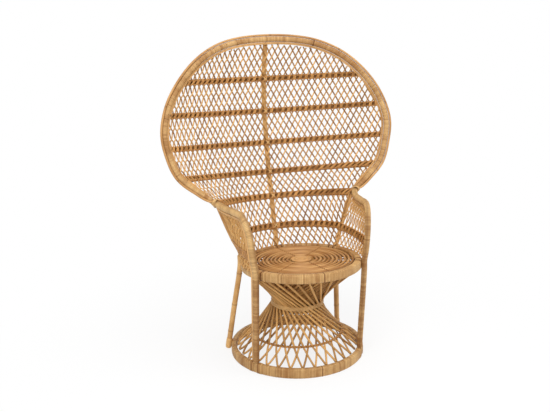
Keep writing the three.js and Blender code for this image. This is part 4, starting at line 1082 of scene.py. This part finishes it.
def arm_patch():
    """Points and normals of the right arm panel, for shares along it and up it and depths off it."""

    def bead_inside(share):
        point, out, _ = rim_frame(share)
        return point + out * ARM_INNER_OFFSET

    def top(s):
        return bead_inside(blend(NECK_SHARE, CORNER_SHARE, s))

    def front(t):
        return bead_inside(blend(SEAT_SHARE, CORNER_SHARE, t))

    def rear(t):
        level = blend(FOOT_HEIGHT, STILE_TOP_LEVEL, t)
        return blend(surface_point(stile_edge(level), level), top(np.zeros_like(t)), (t * t)[..., None])

    corner = front(np.array(0.0))
    front_angle = math.atan2(corner[0], corner[1] + SEAT_FORWARD)

    def bottom(s):
        angle = blend(stile_angle(FOOT_HEIGHT), front_angle, s)
        y = BACK_FOOT_RADIUS * np.cos(angle) - SEAT_FORWARD
        return stacked(BACK_FOOT_RADIUS * np.sin(angle), y, hoop_top(y))

    def patch(s, t):
        a, b = s[..., None], t[..., None]
        low, high = (blend(edge(0 * s), edge(0 * s + 1), a) for edge in (bottom, top))
        return blend(bottom(s), top(s), b) + blend(rear(t), front(t), a) - blend(low, high, b)

    def climbing(s, t):
        return patch(s, t + ARM_BAND_CLIMB * (s - 0.5) * 4 * t * (1 - t))

    def place(s, t, depth):
        s, t, depth = np.broadcast_arrays(s, t, depth)
        across = climbing(s + 0.01, t) - climbing(s - 0.01, t)
        rise = climbing(s, t + 0.01) - climbing(s, t - 0.01)
        normal = unit(np.cross(rise, across))
        return climbing(s, t) + normal * depth[..., None], normal

    return place


def build_arm_panels():
    panel = arm_patch()
    tall = np.linalg.norm(panel(0.5, 1.0, 0.0)[0] - panel(0.5, 0.0, 0.0)[0])
    long = np.linalg.norm(panel(1.0, 0.5, 0.0)[0] - panel(0.0, 0.5, 0.0)[0])
    columns = int(round(long / DIAMOND_WIDTH))
    pitch = 1 / columns
    _, band_row, top_row = ARM_HALF_ROWS
    rows = np.arange(-0.1, top_row + 0.31, ROW_STEP)

    def share_up(row):
        return np.interp(row, ARM_HALF_ROWS, [0, ARM_BAND_SHARE, 1]) + np.minimum(row, 0) * 0.04

    def inside(across, row):
        slit = PANEL_SLIT * np.clip((row - 4.6) / 2, 0, 1) * np.clip(10.4 - row, 0, 1)
        return (across > slit - 0.02) & (across < 1.01) & (row <= top_row + 0.2)

    def pick(row):
        return np.where(row < band_row, 0, 1)

    # The last value paints shade on the edges of the arm panel's strands.
    strand = (ARM_STRAND_DIAMETER, ARM_STRAND_FLAT, (0.98, 0.86), 0.4)
    for side, turn in SIDES.items():

        def place(across, row, depth):
            return map(turn, panel(across, share_up(row), depth))

        def band_place(across, above, depth):
            return map(turn, panel(across / long, ARM_BAND_SHARE + above / tall, depth))

        skins = [skin_of(f"arm_lattice_{level}_{side}", "strands") for level in ("lower", "upper")]
        woven(skins, rows, place, inside, columns + 8, pitch, pick, *strand)
        skin = skin_of(f"arm_band_{side}", "twined")
        twined(skin, band_place, 0, long, long * pitch)


# Peel lashings and nails at the joints
def build_lashings():
    """Crossed turns of peel that tie the centre post to each band."""
    skin = Skin("post_lashings", "wrapped_rattan")
    around = full_turn(36)
    wide, tall, deep = LASHING_REACH
    for height in BAND_HEIGHTS:
        spot = post_angle(height)
        middle, _ = off_surface(spot, height, LASHING_DEPTH)
        angle = spot + wide * np.cos(around) / level_value("radius", height)
        for lean in (1, -1):
            level = height + lean * tall * np.cos(around)
            points, _ = off_surface(angle, level, LASHING_DEPTH - deep * np.sin(around))
            tube(skin, points, LASHING_PEEL, unit(points - middle), 6, 0.78, loop=True, flat=0.42)


def build_straps():
    """Turns of peel on the hoops on both sides of each pole, darkest next to the pole as painted shade in
    the gap beside it.
    """
    skin = Skin("hoop_straps", "wrapped_rattan")
    post_spot = post_at_seat(SEAT_HEIGHT)
    post_turn = math.atan2(post_spot[0], post_spot[1] + SEAT_FORWARD)
    at_the_seat = [
        (post_turn, ARM_RAIL_WIDTH),
        (-post_turn, ARM_RAIL_WIDTH),
        (POST_FOOT_ANGLE, POST_DIAMETER),
        (LEG_ANGLES["right"][0], LEG_DIAMETER),
        (-LEG_ANGLES["left"][0], LEG_DIAMETER),
    ]
    at_the_base = [(POST_ANGLE, ARM_RAIL_WIDTH), (-POST_ANGLE, ARM_RAIL_WIDTH)]
    # The base hoop gets less of the painted shade beside its poles.
    for node, spots, shade in (("seat_hoop", at_the_seat, 1.0), ("base_hoop", at_the_base, 0.4)):
        place, radius, section = hoop_frame(node)
        for angle, wide in spots:
            for side in (1, -1):
                for beside, width, tone, seam in STRAPS:
                    far = angle * radius + side * (wide / 2 + beside)
                    peel_turn(skin, place, far, section, width, tone, seam * shade)


def build_nails():
    skin = Skin("nails", "dark_twine")
    on_fan_rail = FAN_RAIL_THICKNESS / 2 - NAIL_SINK
    on_arm_rail = ARM_RAIL_THICKNESS / 2 - NAIL_SINK
    down_the_edge = np.linspace(0, 1, len(edge_level))[::-1]
    nails = []
    for height in BAND_HEIGHTS[2:]:
        share = blend(0.5, NECK_SHARE, np.interp(height, edge_level[::-1], down_the_edge))
        for spot in (share, 1 - share):
            nails += [(spot, FAN_BEAD_OFFSET, 5.0), (spot, 0, on_fan_rail)]
    for spot in FAN_NAIL_SHARES:
        nails.append((spot, 2.0, on_fan_rail))
    for spot in (NECK_SHARE + 0.02, NECK_SHARE + 0.055, CORNER_SHARE + 0.01, SEAT_SHARE + 0.005):
        nails += [(spot, -4.0, on_arm_rail), (1 - spot, -4.0, on_arm_rail)]
    for share, offset, proud in nails:
        point, out, normal = rim_frame(share)
        centre = point + out * offset - normal * proud
        tube(skin, centre - normal * NAIL_LINE[:, None], NAIL_DIAMETERS, out, 8, 0.0, 1.0)


build_hoops()
build_rings()
build_pedestal()
build_skirt()
build_mat()
build_spokes()
build_fan_rim()
build_arm_rails()
build_post()
build_legs_and_stiles()
build_back()
build_arm_panels()
build_lashings()
build_straps()
build_nails()
for skin in SKINS:
    make_piece(skin)


# Floor, light and camera, in metres
WHITE = (1, 1, 1, 1)
FLOOR_COLOUR = (0.92, 0.92, 0.92, 1)
FLOOR_REACH = 9.0
FLOOR_FADE = {"From Min": 0.3, "From Max": 1.5, "To Min": 0.8, "To Max": 1.0}
SOFT_LIGHT = 0.5
LAMPS = (
    ("key", (-1.6, -3.0, 3.4), 2.4, 95),
    ("top", (0.2, -0.3, 4.4), 3.0, 60),
    ("fill", (3.0, -1.8, 2.2), 2.6, 32),
)
LAMP_TARGET = Vector((0, 0, 0.8))
IMAGE_WIDTH = 550
SENSOR_WIDTH = 36
CAMERA_FOCAL = 821.06
CAMERA_PITCH = 0.2626
CAMERA_YAW = -0.0261
CAMERA_ROLL = -0.0166
CAMERA_TURN = 0.3329
CAMERA_DISTANCE = 3.5684
CAMERA_HEIGHT = 1.6602


def white_for_camera(shading):
    """One where the background is looked at or mirrored, zero where it lights the chair."""
    path = shading.add("LightPath", {})
    seen = shading.maths("MAXIMUM", path["Is Camera Ray"], path["Is Glossy Ray"])
    return shading.maths("MAXIMUM", seen, path["Is Transmission Ray"])


def build_floor():
    mesh = bpy.data.meshes.new("floor")
    corners = [(x * FLOOR_REACH, y * FLOOR_REACH, 0) for x, y in ((-1, -1), (1, -1), (1, 1), (-1, 1))]
    mesh.from_pydata(corners, [], [(0, 1, 2, 3)])
    material = bpy.data.materials.new("pale_floor")
    shading = Shading(material)
    shading.nodes.clear()
    away = shading.nodes.new("ShaderNodeVectorMath")
    away.operation = "LENGTH"
    distance = shading.feed(away, {0: shading.add("NewGeometry", {})["Position"]})["Value"]
    fade = shading.nodes.new("ShaderNodeMapRange")
    fade.interpolation_type = "SMOOTHSTEP"
    whiteness = shading.feed(fade, {"Value": distance, **FLOOR_FADE})["Result"]
    share = shading.maths("MULTIPLY", white_for_camera(shading), whiteness)
    diffuse = shading.add("BsdfDiffuse", {"Color": FLOOR_COLOUR})["BSDF"]
    glow = shading.add("Emission", {})["Emission"]
    mix = shading.add("MixShader", {"Fac": share, 1: diffuse, 2: glow})["Shader"]
    shading.add("OutputMaterial", {"Surface": mix})
    mesh.materials.append(material)
    linked("floor", mesh)


def build_light():
    world = bpy.data.worlds.new("studio")
    bpy.context.scene.world = world
    shading = Shading(world)
    shading.nodes.clear()
    soft = shading.add("Background", {"Color": WHITE, "Strength": SOFT_LIGHT})["Background"]
    white = shading.add("Background", {"Color": WHITE})["Background"]
    mix = shading.add("MixShader", {"Fac": white_for_camera(shading), 1: soft, 2: white})["Shader"]
    shading.add("OutputWorld", {"Surface": mix})
    for name, place, size, energy in LAMPS:
        light = bpy.data.lights.new(name, "AREA")
        light.size = size
        light.energy = energy
        lamp = linked(name, light)
        lamp.location = place
        lamp.rotation_euler = (LAMP_TARGET - Vector(place)).to_track_quat("-Z", "Y").to_euler()


def build_camera():
    data = bpy.data.cameras.new("photo_view")
    data.sensor_fit = "HORIZONTAL"
    data.sensor_width = SENSOR_WIDTH
    data.lens = CAMERA_FOCAL * SENSOR_WIDTH / IMAGE_WIDTH
    data.clip_end = 60
    camera = linked("photo_view", data)
    heading = Matrix.Rotation(-CAMERA_TURN - CAMERA_YAW, 4, "Z")
    pitch = Matrix.Rotation(math.pi / 2 - CAMERA_PITCH, 4, "X")
    roll = Matrix.Rotation(CAMERA_ROLL, 4, "Z")
    x, y = -CAMERA_DISTANCE * math.sin(CAMERA_TURN), -CAMERA_DISTANCE * math.cos(CAMERA_TURN)
    place = Matrix.Translation((x, y + AXIS_Y, CAMERA_HEIGHT))
    camera.matrix_world = place @ heading @ pitch @ roll
    bpy.context.scene.camera = camera


build_floor()
build_light()
build_camera()
bpy.context.scene.view_settings.view_transform = "Standard"
